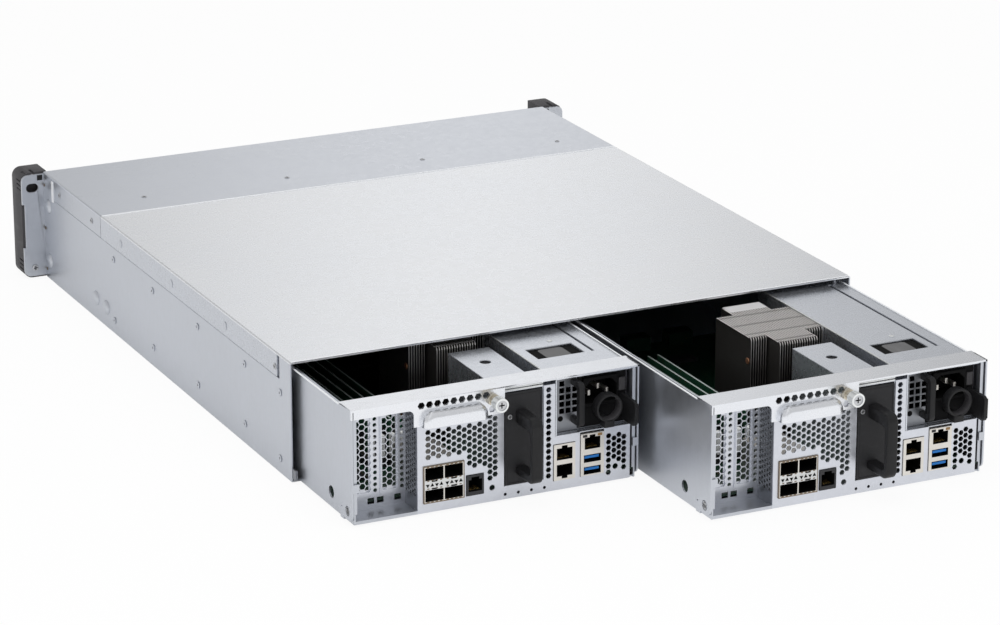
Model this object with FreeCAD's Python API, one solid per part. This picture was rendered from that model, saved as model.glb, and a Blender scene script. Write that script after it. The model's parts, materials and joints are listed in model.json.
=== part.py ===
import FreeCAD, Part
import math
import os
from FreeCAD import Vector

# Rackmount storage server, 2U, with two controller canisters drawn part way out of the rear.
# Frame: X across, rear at +Y, Z up, origin under the middle of the body, millimetres.

# Sheet work and fits
SHEET = 1.2
FIT = 0.3
SEAM = 0.6
BEND = 1.0
CORNER_STEPS = 3
HOLE_SIDE_COUNT = 12

# Body
DEPTH = 511.0
HEIGHT = 88.0
SKIRT = 17.5
FRONT_COVER_DEPTH = 132.5
FRONT_POST = 22.5
REAR_POST = 19.5
SKIRT_NOTCH = 4.0
DIVIDER_SETBACK = 15.0
ROOF_ROOM = 4.3
BAY_CLEAR = 2.1

# Rack ears and their caps
EAR_WIDTH = 18.3
EAR_SHEET = 2.0
EAR_LEG = 19.0
EAR_MARGIN = 1.6
EAR_CORNER = 5.0
EAR_WAIST = 1.8
EAR_WAIST_HEIGHT = 36.0
EAR_SLOT_LENGTH = 10.0
EAR_SLOT_WIDTH = 7.0
EAR_SLOT_OFFSET = 9.55
EAR_SLOT_DROP = 12.5
CAP_DEPTH = 21.5
CAP_CORNER = 7.0
CAP_GROOVE = 1.0
CAP_GROOVE_LENGTH = 9.0
CAP_GROOVE_PITCH = 3.6
CAP_GROOVE_COUNT = 3
CAP_POCKET = 13.0
CAP_POCKET_DEPTH = 6.0

# Drives and their cage
DRIVE_COLUMNS = 4
DRIVE_ROWS = 3
CAGE_SHEET = 1.0
LEDGE = 3.0
BEZEL_DEPTH = 14.0
BEZEL_PROUD = 4.0
BEZEL_SLOT_HEIGHT = 6.0
BEZEL_SLOT_LENGTH = 72.0
CARRIER_SHEET = 1.2
DRIVE_LENGTH = 147.0
DRIVE_HEIGHT = 22.0

# Midplane
MIDPLANE_SHEET = 2.4
PLUG_ROOM = 6.0
PLUG_DEPTH = 5.0
AIR_HOLE_HEIGHT = 10.0

# Canister, across, from the slot recess to the power supply
RECESS_WIDTH = 45.9
VENT_WIDTH = 65.0
BBU_BAY = 30.3
STRIP_WIDTH = 8.7
PSU_BAY = 60.7
ARM_GAP = 0.8

# Canister, along and up
CANISTER_DEPTH = 330.0
PULL_LEFT = 97.5
PULL_RIGHT = 192.5
PANEL_SETBACK = 1.5
RECESS_DEPTH = 21.0
STANDOFF = 4.3
BOARD_SHEET = 1.6
HEM_LENGTH = 5.0
SIDE_HOLE_RADIUS = 4.5
SIDE_HOLE_SETBACK = 40.0
SIDE_HOLE_RISE = 11.0

# Vents of the rear panel
HEX_FLATS = 4.3
HEX_COLUMN_PITCH = 4.6
HEX_ROW_PITCH = 5.3
FIELD_MARGIN = 8.0
VENT_WEB = 3.0
FIELD_COLUMNS = 12
FIELD_STEP_COLUMNS = 5
FIELD_TAIL_COLUMNS = 2
STRIP_VENT_RISE = 12.5
STRIP_VENT_INSET = 3.8
GRID_COLUMNS = 4
GRID_MARGIN = 19.7
GRID_SCREW_OFFSET = 5.5
SCREW_HOLE_RADIUS = 2.2
SCREW_HOLE_SIDE_COUNT = 6
SCREW_HOLE_ROOM = 3.0

# Expansion slots
SLOT_PITCH = 20.3
SLOT_MARGIN = 13.8
SLOT_COVER_WIDTH = 14.0
SLOT_COVER_HEIGHT = 60.0
SLOT_COVER_FOOT = 9.0
SLOT_COVER_RISE = 10.0
SLOT_COVER_SHEET = 0.8
SLOT_VENT = 5.0

# Ports
SFP_OFFSET = 4.5
SFP_WIDTH = 30.0
SFP_HEIGHT = 26.4
SFP_DEPTH = 52.0
SFP_CELL_HEIGHT = 9.2
PORT_WALL = 0.9
CONSOLE_OFFSET = 36.5
CONSOLE_WIDTH = 13.0
CONSOLE_HEIGHT = 14.9
LAN_OFFSET = 1.2
LAN_WIDTH = 16.5
LAN_HEIGHT = 26.4
USB_OFFSET = 19.5
USB_WIDTH = 18.0
STACK_HEIGHT = 30.9
PORT_DEPTH = 22.0
PORT_PROUD = 0.8
RJ_WIDTH = 12.0
RJ_HEIGHT = 8.6
RJ_NOTCH = 4.4
RJ_NOTCH_RISE = 2.0
RJ_DEPTH = 16.0
USB_MOUTH_WIDTH = 13.2
USB_MOUTH_HEIGHT = 5.6
USB_TONGUE = 2.0
USB_PITCH = 8.8

# Board parts
MODULE_COUNT = 4
MODULE_PITCH = 8.0
MODULE_LENGTH = 133.0
MODULE_HEIGHT = 30.0
MODULE_SHEET = 1.3
SOCKET_WIDTH = 6.0
SOCKET_HEIGHT = 7.0
MODULE_OFFSET = 45.8
MODULE_SETBACK = 82.0
FIN_COUNT = 20
FIN_SHEET = 0.8
SINK_WIDTH = 58.0
SINK_LENGTH = 52.0
SINK_SETBACK = 117.0
SINK_OFFSET = 92.0
SINK_CORE_WIDTH = 31.0
SINK_CORE_LENGTH = 86.0
SINK_BASE = 5.0
SINK_ROOF_ROOM = 0.8

# Lever
LEVER_FLANGE = 21.0
LEVER_PLATE_DROP = 20.8
LEVER_STRIP_DROP = 6.8
LEVER_STEP = 3.0
LEVER_STEP_RADIUS = 4.0
LEVER_VENTS = 9
LEVER_VENT_FLATS = 4.6
LEVER_VENT_PITCH = 6.06
LEVER_VENT_DROP = 4.3
ARM_WIDTH = 17.0
PIVOT_SETBACK = 8.0
PIVOT_RISE = 8.5
PIVOT_RADIUS = 3.0
STOP_TAB_RISE = 23.5
STOP_TAB_HEIGHT = 6.0
SCOOP_WIDTH = 49.0
SCOOP_HEIGHT = 12.7
SCOOP_DEPTH = 6.5
SCOOP_DRAFT = 4.0
SCOOP_RADIUS = 8.0
SCOOP_MARGIN = 5.0
SCREW_OFFSET = 9.7
SCREW_DROP = 7.3
SCREW_SHANK = 1.5
SCREW_NECK = 3.2
SCREW_COLLAR = 4.5
SCREW_COLLAR_LENGTH = 3.0
SCREW_KNOB = 5.0
SCREW_KNOB_LENGTH = 7.0
SCREW_REACH = 16.0
SCREW_KNOB_SIDE_COUNT = 16
SCREW_NECK_SIDE_COUNT = 12
SCREW_COLLAR_SIDE_COUNT = 6

# Power supply
PSU_WIDTH = 54.5
PSU_LENGTH = 204.0
PSU_WALL = 1.0
PSU_SETBACK = 6.0
PSU_INSET = 3.3
GRILLE_HOLE = 3.8
GRILLE_PITCH = 5.0
GRILLE_COLUMNS = 3
GRILLE_ROWS = 5
GRILLE_MARGIN = 4.6
INLET_WIDTH = 27.0
INLET_HEIGHT = 21.0
INLET_DEPTH = 24.0
INLET_PROUD = 2.5
INLET_ROOF_ROOM = 1.5
INLET_OFFSET = 20.0
INLET_MOUTH_WIDTH = 24.5
INLET_MOUTH_HEIGHT = 16.5
INLET_MOUTH_DEPTH = 17.0
INLET_CHAMFER = 4.5
PIN_WIDTH = 2.0
PIN_HEIGHT = 4.0
PIN_LENGTH = 13.0
PIN_SPREAD = 7.0
HANDLE_BAR = 4.5
HANDLE_OFFSET = 11.3
HANDLE_FLOOR_ROOM = 5.9
HANDLE_REACH = 14.0
HANDLE_ROOF_ROOM = 1.5
LATCH_SHEET = 2.4
LATCH_OFFSET = 51.3
LATCH_HEIGHT = 18.0
LATCH_REACH = 24.0
LATCH_ROOT = 8.0
LATCH_RISE = 4.0
LATCH_BARREL = 1.6
LATCH_SWING_ROOM = 1.2
LATCH_THUMB = 5.0
CLAMP_OUTER = 10.0
CLAMP_WALL = 1.6
CLAMP_SIDE_COUNT = 20
CLAMP_BAND = 8.0
CLAMP_REACH = 10.0
CLAMP_FOOT = 5.0
CLAMP_FOOT_SHEET = 2.6
CLAMP_OFFSET = 32.8
FAN_DEPTH = 16.0
FAN_BLADES = 5
FAN_SIDE_COUNT = 20
FAN_TIP_ROOM = 0.8
FAN_HUB = 8.0
FAN_STRUT = 2.4
FAN_PLATE = 2.0
FAN_PLATE_SIDE_COUNT = 8
BLADE_SHEET = 1.0
BLADE_CHORD = 11.0
BLADE_PITCH = 40.0

# Battery backup module
BBU_LENGTH = 90.0
BBU_TUBE_LENGTH = 88.0
BBU_TUBE_LIFT = 1.2
BBU_ROOF_ROOM = 2.8
BBU_HOLE_RADIUS = 4.0
BBU_HOLE_SETBACK = 63.0
GRIP_WIDTH = 10.0
GRIP_RISE = 9.0
GRIP_HEIGHT = 47.0
GRIP_REACH = 27.0
GRIP_BAR = 6.0
GRIP_RADIUS = 4.0

# Covers of the power supply bay
WINDOW_WIDTH = 35.5
WINDOW_LENGTH = 21.5
WINDOW_SETBACK = 45.0
WINDOW_OFFSET = 8.6
RIFT_WIDTH = 2.0
RIFT_LENGTH = 150.0
RIFT_OFFSET = 50.0

# Places that follow from the sizes above
TRAY_IN = RECESS_WIDTH + VENT_WIDTH + BBU_BAY + STRIP_WIDTH + PSU_BAY
TRAY_OUT = TRAY_IN + 2 * SHEET
LEVER_WIDTH = TRAY_OUT + 2 * (ARM_GAP + SHEET)
BAY = LEVER_WIDTH + 2 * BAY_CLEAR
WIDTH = 2 * BAY + 3 * SHEET
HALF = WIDTH / 2
REAR = DEPTH / 2
FRONT = -REAR
ROOF = HEIGHT - SHEET
JOG = HEIGHT - SKIRT - FIT
INNER = HALF - 2 * SHEET - FIT
SEAM_Y = FRONT + FRONT_COVER_DEPTH
EAR_SLOT_X = HALF + EAR_SLOT_OFFSET
EAR_SLOT_Z = HEIGHT - EAR_SLOT_DROP
CANISTER_X = BAY / 2 + SHEET / 2

X_IN = TRAY_IN / 2
X_OUT = TRAY_OUT / 2
X_ARM = X_OUT + ARM_GAP
X_RECESS = X_IN - RECESS_WIDTH
X_BBU = X_RECESS - VENT_WIDTH
X_STRIP = X_BBU - BBU_BAY
X_PSU = X_STRIP - STRIP_WIDTH

TRAY_Z = SHEET + FIT
FLOOR_Z = TRAY_Z + SHEET
BOARD_Z = FLOOR_Z + STANDOFF
BOARD_TOP = BOARD_Z + BOARD_SHEET
WALL_TOP = ROOF - ROOF_ROOM
LEVER_TOP = WALL_TOP + 2 * FIT + SHEET
PANEL_BACK = -PANEL_SETBACK - SHEET
SHELF_Z = BOARD_TOP + STACK_HEIGHT + 2 * FIT
SHELF_TOP = SHELF_Z + SHEET
PSU_Z = SHELF_TOP + FIT
PSU_TOP = WALL_TOP - SHEET - FIT
TUBE_Z = BOARD_TOP + BBU_TUBE_LIFT
TUBE_TOP = WALL_TOP - BBU_ROOF_ROOM
PLATE_Z = LEVER_TOP - LEVER_PLATE_DROP
SCOOP_X = X_RECESS - SCOOP_MARGIN + LEVER_STEP
PIVOT_Z = TRAY_Z + PIVOT_RISE
MIDPLANE_REAR = REAR - CANISTER_DEPTH - PLUG_ROOM
MIDPLANE_FRONT = MIDPLANE_REAR - MIDPLANE_SHEET


# Drawing helpers
def at(plane, a, b, c=0.0):
    """A point from two coordinates in a plane, and one along its normal."""
    return {"XZ": Vector(a, c, b), "XY": Vector(a, b, c), "YZ": Vector(c, a, b)}[plane]


def polygon(plane, points):
    ends = [at(plane, a, b) for a, b in points]
    return Part.makePolygon(ends + ends[:1])


def rectangle(plane, a0, a1, b0, b1):
    return polygon(plane, [(a0, b0), (a1, b0), (a1, b1), (a0, b1)])


def many_sided(plane, a, b, radius, sides):
    """A regular outline with a corner at the plane's first axis."""
    turns = [2 * math.pi * k / sides for k in range(sides)]
    return polygon(plane, [(a + radius * math.cos(t), b + radius * math.sin(t)) for t in turns])


def hexagon(plane, a, b, flats):
    return many_sided(plane, a, b, flats / math.sqrt(3), 6)


def rounded(plane, a0, a1, b0, b1, radii):
    """A rectangle with corners, from low a and low b round, turned in CORNER_STEPS flats."""
    centres = [(a0, b0, 1, 1, 180), (a1, b0, -1, 1, 270), (a1, b1, -1, -1, 0), (a0, b1, 1, -1, 90)]
    points = []
    for (a, b, da, db, start), r in zip(centres, radii):
        steps = CORNER_STEPS if r > 0 else 0
        for k in range(steps + 1):
            turn = math.radians(start + 90 * k / max(steps, 1))
            points.append((a + r * (da + math.cos(turn)), b + r * (db + math.sin(turn))))
    return polygon(plane, points)


def oblong(plane, a, b, length, width):
    """A slot with round ends, long along the plane's first axis."""
    straight, radius = (length - width) / 2, width / 2
    corners = [at(plane, a - straight, b - radius), at(plane, a + straight, b - radius),
               at(plane, a + straight, b + radius), at(plane, a - straight, b + radius)]
    right, left = at(plane, a + length / 2, b), at(plane, a - length / 2, b)
    return Part.Wire([
        Part.makeLine(corners[0], corners[1]),
        Part.Arc(corners[1], right, corners[2]).toShape(),
        Part.makeLine(corners[2], corners[3]),
        Part.Arc(corners[3], left, corners[0]).toShape(),
    ])


def slab(plane, c0, c1, outer, holes=()):
    """A flat outline with holes, drawn out along the plane's normal from c0 to c1."""
    face = Part.makeFace([outer, *holes], "Part::FaceMakerBullseye")
    normal = at(plane, 0, 0, 1)
    face.translate(normal * c0)
    return face.extrude(normal * (c1 - c0))


def box(x0, x1, y0, y1, z0, z1):
    low = Vector(min(x0, x1), min(y0, y1), min(z0, z1))
    return Part.makeBox(abs(x1 - x0), abs(y1 - y0), abs(z1 - z0), low)


def rod(plane, a, b, radius, c0, c1):
    return Part.makeCylinder(radius, c1 - c0, at(plane, a, b, c0), at(plane, 0, 0, 1))


def fuse(first, *others):
    joined = first.multiFuse(list(others)).removeSplitter()
    assert len(joined.Solids) == 1, "the pieces of one solid don't meet"
    return joined.Solids[0]


def cut(shape, *tools):
    carved = shape.cut(Part.makeCompound(list(tools))).removeSplitter()
    assert len(carved.Solids) == 1, "a cut parted a solid"
    return carved.Solids[0]


def edges_where(shape, test):
    """The edges all of whose ends pass a test of their place."""
    return [e for e in shape.Edges if all(test(v.Point) for v in e.Vertexes)]


def near(value, wanted):
    return abs(value - wanted) < 0.01


def mirrored(shape):
    return shape.mirror(Vector(0, 0, 0), Vector(1, 0, 0))


def both_sides(points):
    """A half outline given from the outside in, closed by its mirror image."""
    return points + [(-a, b) for a, b in reversed(points)]


# Body
def chassis_base():
    straight = [(HALF, 0), (HALF, ROOF), (HALF - SHEET, ROOF), (HALF - SHEET, SHEET)]
    joggled = [
        (HALF, 0),
        (HALF, JOG),
        (INNER + SHEET, JOG),
        (INNER + SHEET, ROOF),
        (INNER, ROOF),
        (INNER, JOG - SHEET),
        (HALF - SHEET, JOG - SHEET),
        (HALF - SHEET, SHEET),
    ]
    front, rear = FRONT + FRONT_POST, REAR - REAR_POST
    return fuse(
        slab("XZ", FRONT, front, polygon("XZ", both_sides(straight))),
        slab("XZ", front, rear, polygon("XZ", both_sides(joggled))),
        slab("XZ", rear, REAR, polygon("XZ", both_sides(straight))),
    )


def cover(y0, y1, skirt0, skirt1):
    """A top sheet from y0 to y1 with rounded bends and skirts from skirt0 to skirt1."""
    shape = box(-HALF, HALF, y0, y1, ROOF, HEIGHT)
    skirt = box(HALF - SHEET, HALF, skirt0, skirt1, JOG + FIT, ROOF)
    shape = fuse(shape, skirt, mirrored(skirt))
    bends = edges_where(shape, lambda p: near(abs(p.x), HALF) and near(p.z, HEIGHT))
    return shape.makeFillet(BEND, [e for e in bends if near(e.Length, y1 - y0)])


def front_cover():
    return cover(FRONT, SEAM_Y - SEAM / 2, FRONT + FRONT_POST + FIT, SEAM_Y - SEAM / 2)


def rear_cover():
    return cover(SEAM_Y + SEAM / 2, REAR, SEAM_Y + SEAM / 2, REAR - REAR_POST - SKIRT_NOTCH)


def rack_ear():
    """The left bracket: a leg inside the side wall and a flange in front of it."""
    low, high, out = EAR_MARGIN, HEIGHT - EAR_MARGIN, HALF + EAR_WIDTH
    inside = HALF - SHEET - EAR_SHEET
    radii = (0, EAR_CORNER, EAR_CORNER, 0)
    slot = oblong("XZ", EAR_SLOT_X, EAR_SLOT_Z, EAR_SLOT_LENGTH, EAR_SLOT_WIDTH)
    flange = slab("XZ", FRONT - EAR_SHEET, FRONT, rounded("XZ", inside, out, low, high, radii), [slot])
    middle = HEIGHT / 2
    waist = box(out - EAR_WAIST, out + EAR_WAIST, FRONT - EAR_SHEET, FRONT,
                middle - EAR_WAIST_HEIGHT / 2, middle + EAR_WAIST_HEIGHT / 2)
    leg = box(inside, HALF - SHEET, FRONT - EAR_SHEET, FRONT + EAR_LEG, low + SHEET, high - SHEET)
    return cut(fuse(flange, leg), waist)


def ear_cap():
    """The left plastic cap in front of the ear, with grip grooves and room for a rack screw's head."""
    back = FRONT - EAR_SHEET
    out = HALF + EAR_WIDTH
    inside = HALF - SHEET - EAR_SHEET
    outline = rounded("XZ", inside, out, 0, HEIGHT, (0, CAP_CORNER, CAP_CORNER, 0))
    shape = slab("XZ", back - CAP_DEPTH, back, outline)
    half = CAP_POCKET / 2
    hollows = [box(EAR_SLOT_X - half, EAR_SLOT_X + half, back - CAP_POCKET_DEPTH, back,
                   EAR_SLOT_Z - half, EAR_SLOT_Z + half)]
    for k in range(CAP_GROOVE_COUNT):
        for middle in (CAP_CORNER + k * CAP_GROOVE_PITCH, HEIGHT - CAP_CORNER - k * CAP_GROOVE_PITCH):
            hollows.append(box(out - CAP_GROOVE, out + CAP_GROOVE, back - CAP_GROOVE_LENGTH, back,
                               middle - CAP_GROOVE / 2, middle + CAP_GROOVE / 2))
    return cut(shape, *hollows)


def pair(shape):
    return Part.makeCompound([shape, mirrored(shape)])


# Drives
CAGE_HALF = INNER - FIT
COLUMN = (2 * CAGE_HALF - (DRIVE_COLUMNS + 1) * CAGE_SHEET) / DRIVE_COLUMNS
ROW = (ROOF - SHEET) / DRIVE_ROWS


def column_x(index):
    """The left side of a column of drives, counted across from -X."""
    return -CAGE_HALF + CAGE_SHEET + index * (COLUMN + CAGE_SHEET)


def cage_wall(x, left, right):
    """One wall of the cage, with runner ledges on the sides asked for."""
    y0, y1 = FRONT + EAR_LEG + FIT, MIDPLANE_FRONT
    pieces = [box(x, x + CAGE_SHEET, y0, y1, SHEET, ROOF)]
    for row in range(DRIVE_ROWS):
        z = SHEET + row * ROW
        reach0 = x - LEDGE if left else x
        reach1 = x + CAGE_SHEET + (LEDGE if right else 0)
        pieces.append(box(reach0, reach1, y0, y1, z, z + CAGE_SHEET))
    return fuse(*pieces)


def drive_cage():
    walls = []
    for index in range(DRIVE_COLUMNS + 1):
        x = column_x(index) - CAGE_SHEET
        walls.append(cage_wall(x, index > 0, index < DRIVE_COLUMNS))
    return Part.makeCompound(walls)


def drive_carrier(column, row):
    """A sheet carrier with a slotted bezel, and the drive that lies in it."""
    x0, x1 = column_x(column) + FIT, column_x(column) + COLUMN - FIT
    z0 = SHEET + row * ROW + CAGE_SHEET + FIT
    z1 = SHEET + (row + 1) * ROW - FIT
    face = FRONT - BEZEL_PROUD
    back = face + BEZEL_DEPTH
    end = MIDPLANE_FRONT - PLUG_DEPTH - FIT
    outline = rectangle("XZ", x0, x1, z0, z1)
    middle_x, middle_z = (x0 + x1) / 2, (z0 + z1) / 2
    slot = rectangle("XZ", middle_x - BEZEL_SLOT_LENGTH / 2, middle_x + BEZEL_SLOT_LENGTH / 2,
                     middle_z - BEZEL_SLOT_HEIGHT / 2, middle_z + BEZEL_SLOT_HEIGHT / 2)
    bezel = slab("XZ", face, back, outline, [slot])
    floor = box(x0, x1, back, end, z0, z0 + CARRIER_SHEET)
    rails = [box(x, x + CARRIER_SHEET, back, end, z0 + CARRIER_SHEET, z0 + DRIVE_HEIGHT / 2)
             for x in (x0 + LEDGE, x1 - LEDGE - CARRIER_SHEET)]
    carrier = fuse(bezel, floor, *rails)
    side = LEDGE + CARRIER_SHEET
    drive = box(x0 + side, x1 - side, end - DRIVE_LENGTH, end,
                z0 + CARRIER_SHEET, z0 + CARRIER_SHEET + DRIVE_HEIGHT)
    return Part.makeCompound([carrier, drive])


def midplane_board():
    """The board between drives and canisters, with plugs on both faces and air holes between."""
    holes = []
    plugs = []
    for column in range(DRIVE_COLUMNS):
        x0, x1 = column_x(column), column_x(column) + COLUMN
        holes.append(rectangle("XZ", x0 + COLUMN / 2, x1 - AIR_HOLE_HEIGHT,
                               SHEET + AIR_HOLE_HEIGHT, ROOF - SHEET - AIR_HOLE_HEIGHT))
        for row in range(DRIVE_ROWS):
            z = SHEET + row * ROW + ROW / 2
            plugs.append(box(x0 + AIR_HOLE_HEIGHT, x0 + COLUMN / 2 - AIR_HOLE_HEIGHT / 2,
                             MIDPLANE_FRONT - PLUG_DEPTH, MIDPLANE_FRONT,
                             z - AIR_HOLE_HEIGHT / 2, z + AIR_HOLE_HEIGHT / 2))
        plugs.append(box(x0 + AIR_HOLE_HEIGHT, x0 + COLUMN / 2 - AIR_HOLE_HEIGHT / 2,
                         MIDPLANE_REAR, MIDPLANE_REAR + PLUG_DEPTH,
                         BOARD_TOP, BOARD_TOP + AIR_HOLE_HEIGHT))
    outline = rectangle("XZ", -CAGE_HALF, CAGE_HALF, SHEET, ROOF - SHEET)
    return fuse(slab("XZ", MIDPLANE_FRONT, MIDPLANE_REAR, outline, holes), *plugs)


def bay_divider():
    return box(-SHEET / 2, SHEET / 2, MIDPLANE_REAR, REAR - DIVIDER_SETBACK, SHEET, ROOF)


# Canister, in its own frame: X across, the lever's outer face at Y zero, Z as for the body
def tray():
    """A floor and two side walls, with hemmed rear edges, pivot studs and board standoffs."""
    end = -CANISTER_DEPTH
    rear = -PANEL_SETBACK
    channel = [(X_OUT, TRAY_Z), (X_OUT, WALL_TOP), (X_IN, WALL_TOP), (X_IN, FLOOR_Z)]
    body = slab("XZ", end, rear, polygon("XZ", both_sides(channel)))
    hem = box(X_IN - SHEET, X_IN, rear - HEM_LENGTH, rear, BOARD_TOP + FIT, WALL_TOP)
    lip = box(X_RECESS, X_IN, rear - HEM_LENGTH, rear, FLOOR_Z, FLOOR_Z + SHEET)
    studs = [rod("YZ", -PIVOT_SETBACK, PIVOT_Z, PIVOT_RADIUS, x, x + ARM_GAP + SHEET)
             for x in (X_OUT, -X_ARM - SHEET)]
    posts = []
    for x in (-X_IN + RECESS_WIDTH, X_IN - RECESS_WIDTH):
        for y in (-SINK_SETBACK / 2, -CANISTER_DEPTH + SINK_SETBACK / 2):
            posts.append(slab("XY", FLOOR_Z, BOARD_Z, hexagon("XY", x, y, STANDOFF)))
    body = fuse(body, hem, mirrored(hem), lip, *studs, *posts)
    seat = box(-X_IN, X_RECESS, PANEL_BACK, rear, TRAY_Z, FLOOR_Z)
    hole_z = TRAY_Z + SIDE_HOLE_RISE
    round_hole = many_sided("YZ", -SIDE_HOLE_SETBACK, hole_z, SIDE_HOLE_RADIUS, HOLE_SIDE_COUNT)
    hole = slab("YZ", X_IN, X_OUT, round_hole)
    return cut(body, seat, hole)


FIELD_SCREW = (X_BBU + SCREW_OFFSET, BOARD_TOP + HEX_ROW_PITCH)
GRID_SCREW = (-X_IN + GRID_MARGIN - GRID_SCREW_OFFSET, BOARD_TOP + HEX_ROW_PITCH)


def field_vents():
    """The staggered hexagons between the slot recess and the battery, down to what is below them."""
    wires = []
    top = PLATE_Z - LEVER_STEP
    over_screw = FIELD_SCREW[1] + SCREW_HOLE_RADIUS + SHEET
    over_console = BOARD_TOP + CONSOLE_HEIGHT + FIT + VENT_WEB
    over_cage = BOARD_TOP + SFP_HEIGHT + FIT + VENT_WEB
    for k in range(FIELD_COLUMNS):
        tail = k >= FIELD_COLUMNS - FIELD_TAIL_COLUMNS
        step = k >= FIELD_COLUMNS - FIELD_STEP_COLUMNS
        floor = over_screw if tail else over_console if step else over_cage
        x = X_RECESS - FIELD_MARGIN - k * HEX_COLUMN_PITCH
        z = top + (HEX_ROW_PITCH if tail else 0) - (k % 2) * HEX_ROW_PITCH / 2
        while z - HEX_FLATS / 2 > floor:
            wires.append(hexagon("XZ", x, z, HEX_FLATS))
            z -= HEX_ROW_PITCH
    return wires


def grid_vents():
    """The hexagons beside the network jacks, which leave room for a screw."""
    wires = []
    screw_x, screw_z = GRID_SCREW
    top = SHELF_Z - LEVER_STEP
    for k in range(GRID_COLUMNS):
        x = -X_IN + GRID_MARGIN - k * HEX_COLUMN_PITCH
        z = top - (k % 2) * HEX_ROW_PITCH / 2
        while z > BOARD_TOP:
            if math.hypot(x - screw_x, z - screw_z) > SCREW_HOLE_RADIUS + SCREW_HOLE_ROOM:
                wires.append(hexagon("XZ", x, z, HEX_FLATS))
            z -= HEX_ROW_PITCH
    return wires


def strip_vents():
    """The single column of hexagons between the battery and the power supply."""
    wires = []
    z = TRAY_Z + STRIP_VENT_RISE
    while z + HEX_FLATS / 2 + SHEET < TUBE_TOP:
        wires.append(hexagon("XZ", X_STRIP - STRIP_VENT_INSET, z, HEX_FLATS))
        z += HEX_ROW_PITCH
    return wires


def port_opening(x_left, width, height):
    return rectangle("XZ", x_left - width - FIT, x_left + FIT, BOARD_TOP - FIT, BOARD_TOP + height + FIT)


X_SFP = X_RECESS - SFP_OFFSET
X_CONSOLE = X_RECESS - CONSOLE_OFFSET
X_LAN = X_PSU + LAN_OFFSET
X_USB = X_PSU - USB_OFFSET
X_SLOTS = [X_IN - SLOT_MARGIN - k * SLOT_PITCH for k in range(2)]


def rear_panel():
    """The perforated panel, open to the lever's vents, with its return and the slot recess's wall."""
    edge = -X_IN + 2 * SHEET + FIT
    stack_right, stack_left = X_USB - USB_WIDTH - FIT, X_USB + FIT
    vent_z = LEVER_TOP - LEVER_VENT_DROP - LEVER_VENT_FLATS / 2 - FIT
    vent_x = SCOOP_X - (LEVER_VENTS - 1) * LEVER_VENT_PITCH - LEVER_VENT_FLATS / math.sqrt(3) - FIT
    outline = [
        (X_RECESS, TRAY_Z),
        (edge, TRAY_Z),
        (edge, SHELF_TOP),
        (stack_right, SHELF_TOP),
        (stack_right, BOARD_TOP - FIT),
        (stack_left, BOARD_TOP - FIT),
        (stack_left, SHELF_TOP),
        (X_PSU, SHELF_TOP),
        (X_PSU, TUBE_TOP),
        (X_STRIP, TUBE_TOP),
        (X_STRIP, TUBE_Z + SHEET),
        (X_BBU, TUBE_Z + SHEET),
        (X_BBU, WALL_TOP),
        (vent_x, WALL_TOP),
        (vent_x, vent_z),
        (X_RECESS, vent_z),
    ]
    holes = field_vents() + grid_vents() + strip_vents()
    for x, z in (FIELD_SCREW, GRID_SCREW):
        holes.append(many_sided("XZ", x, z, SCREW_HOLE_RADIUS, SCREW_HOLE_SIDE_COUNT))
    holes += [
        port_opening(X_SFP, SFP_WIDTH, SFP_HEIGHT),
        port_opening(X_CONSOLE, CONSOLE_WIDTH, CONSOLE_HEIGHT),
        port_opening(X_LAN, LAN_WIDTH, LAN_HEIGHT),
    ]
    main = slab("XZ", PANEL_BACK, -PANEL_SETBACK, polygon("XZ", outline), holes)
    depth = -PANEL_SETBACK - RECESS_DEPTH
    turn = box(X_RECESS - SHEET, X_RECESS, depth - SHEET, -PANEL_SETBACK, FLOOR_Z, WALL_TOP)
    mouth_low = FLOOR_Z + SLOT_COVER_RISE + SLOT_COVER_FOOT
    mouth_high = FLOOR_Z + SLOT_COVER_RISE + SLOT_COVER_HEIGHT - SLOT_VENT
    mouths = [rectangle("XZ", x - SLOT_VENT, x + SLOT_VENT, mouth_low, mouth_high) for x in X_SLOTS]
    wall = rectangle("XZ", X_RECESS - SHEET, X_IN, FLOOR_Z, WALL_TOP)
    back = slab("XZ", depth - SHEET, depth, wall, mouths)
    return fuse(main, turn, back)


def slot_cover(x):
    """A slot blank whose foot is narrower than its face."""
    depth = -PANEL_SETBACK - RECESS_DEPTH
    low = FLOOR_Z + SLOT_COVER_RISE
    high = low + SLOT_COVER_HEIGHT
    half = SLOT_COVER_WIDTH / 2
    outline = polygon("XZ", [
        (x - half / 2, low),
        (x + half / 2, low),
        (x + half / 2, low + SLOT_COVER_FOOT),
        (x + half, low + SLOT_COVER_FOOT),
        (x + half, high),
        (x - half, high),
        (x - half, low + SLOT_COVER_FOOT),
        (x - half / 2, low + SLOT_COVER_FOOT),
    ])
    return slab("XZ", depth, depth + SLOT_COVER_SHEET, outline)


def slot_covers():
    return Part.makeCompound([slot_cover(x) for x in X_SLOTS])


def sfp_cage():
    """A folded cage of two by two deep cells, with a light pipe bar between its rows."""
    x0, x1 = X_SFP - SFP_WIDTH, X_SFP
    rear = -PANEL_SETBACK + PORT_PROUD
    shell = box(x0, x1, rear - SFP_DEPTH, rear, BOARD_TOP, BOARD_TOP + SFP_HEIGHT)
    cell = (SFP_WIDTH - 3 * PORT_WALL) / 2
    cells = []
    for x in (x0 + PORT_WALL, x0 + 2 * PORT_WALL + cell):
        for z in (BOARD_TOP + PORT_WALL, BOARD_TOP + SFP_HEIGHT - PORT_WALL - SFP_CELL_HEIGHT):
            cells.append(box(x, x + cell, rear - SFP_DEPTH + PORT_WALL, rear, z, z + SFP_CELL_HEIGHT))
    return cut(shell, *cells)


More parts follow.
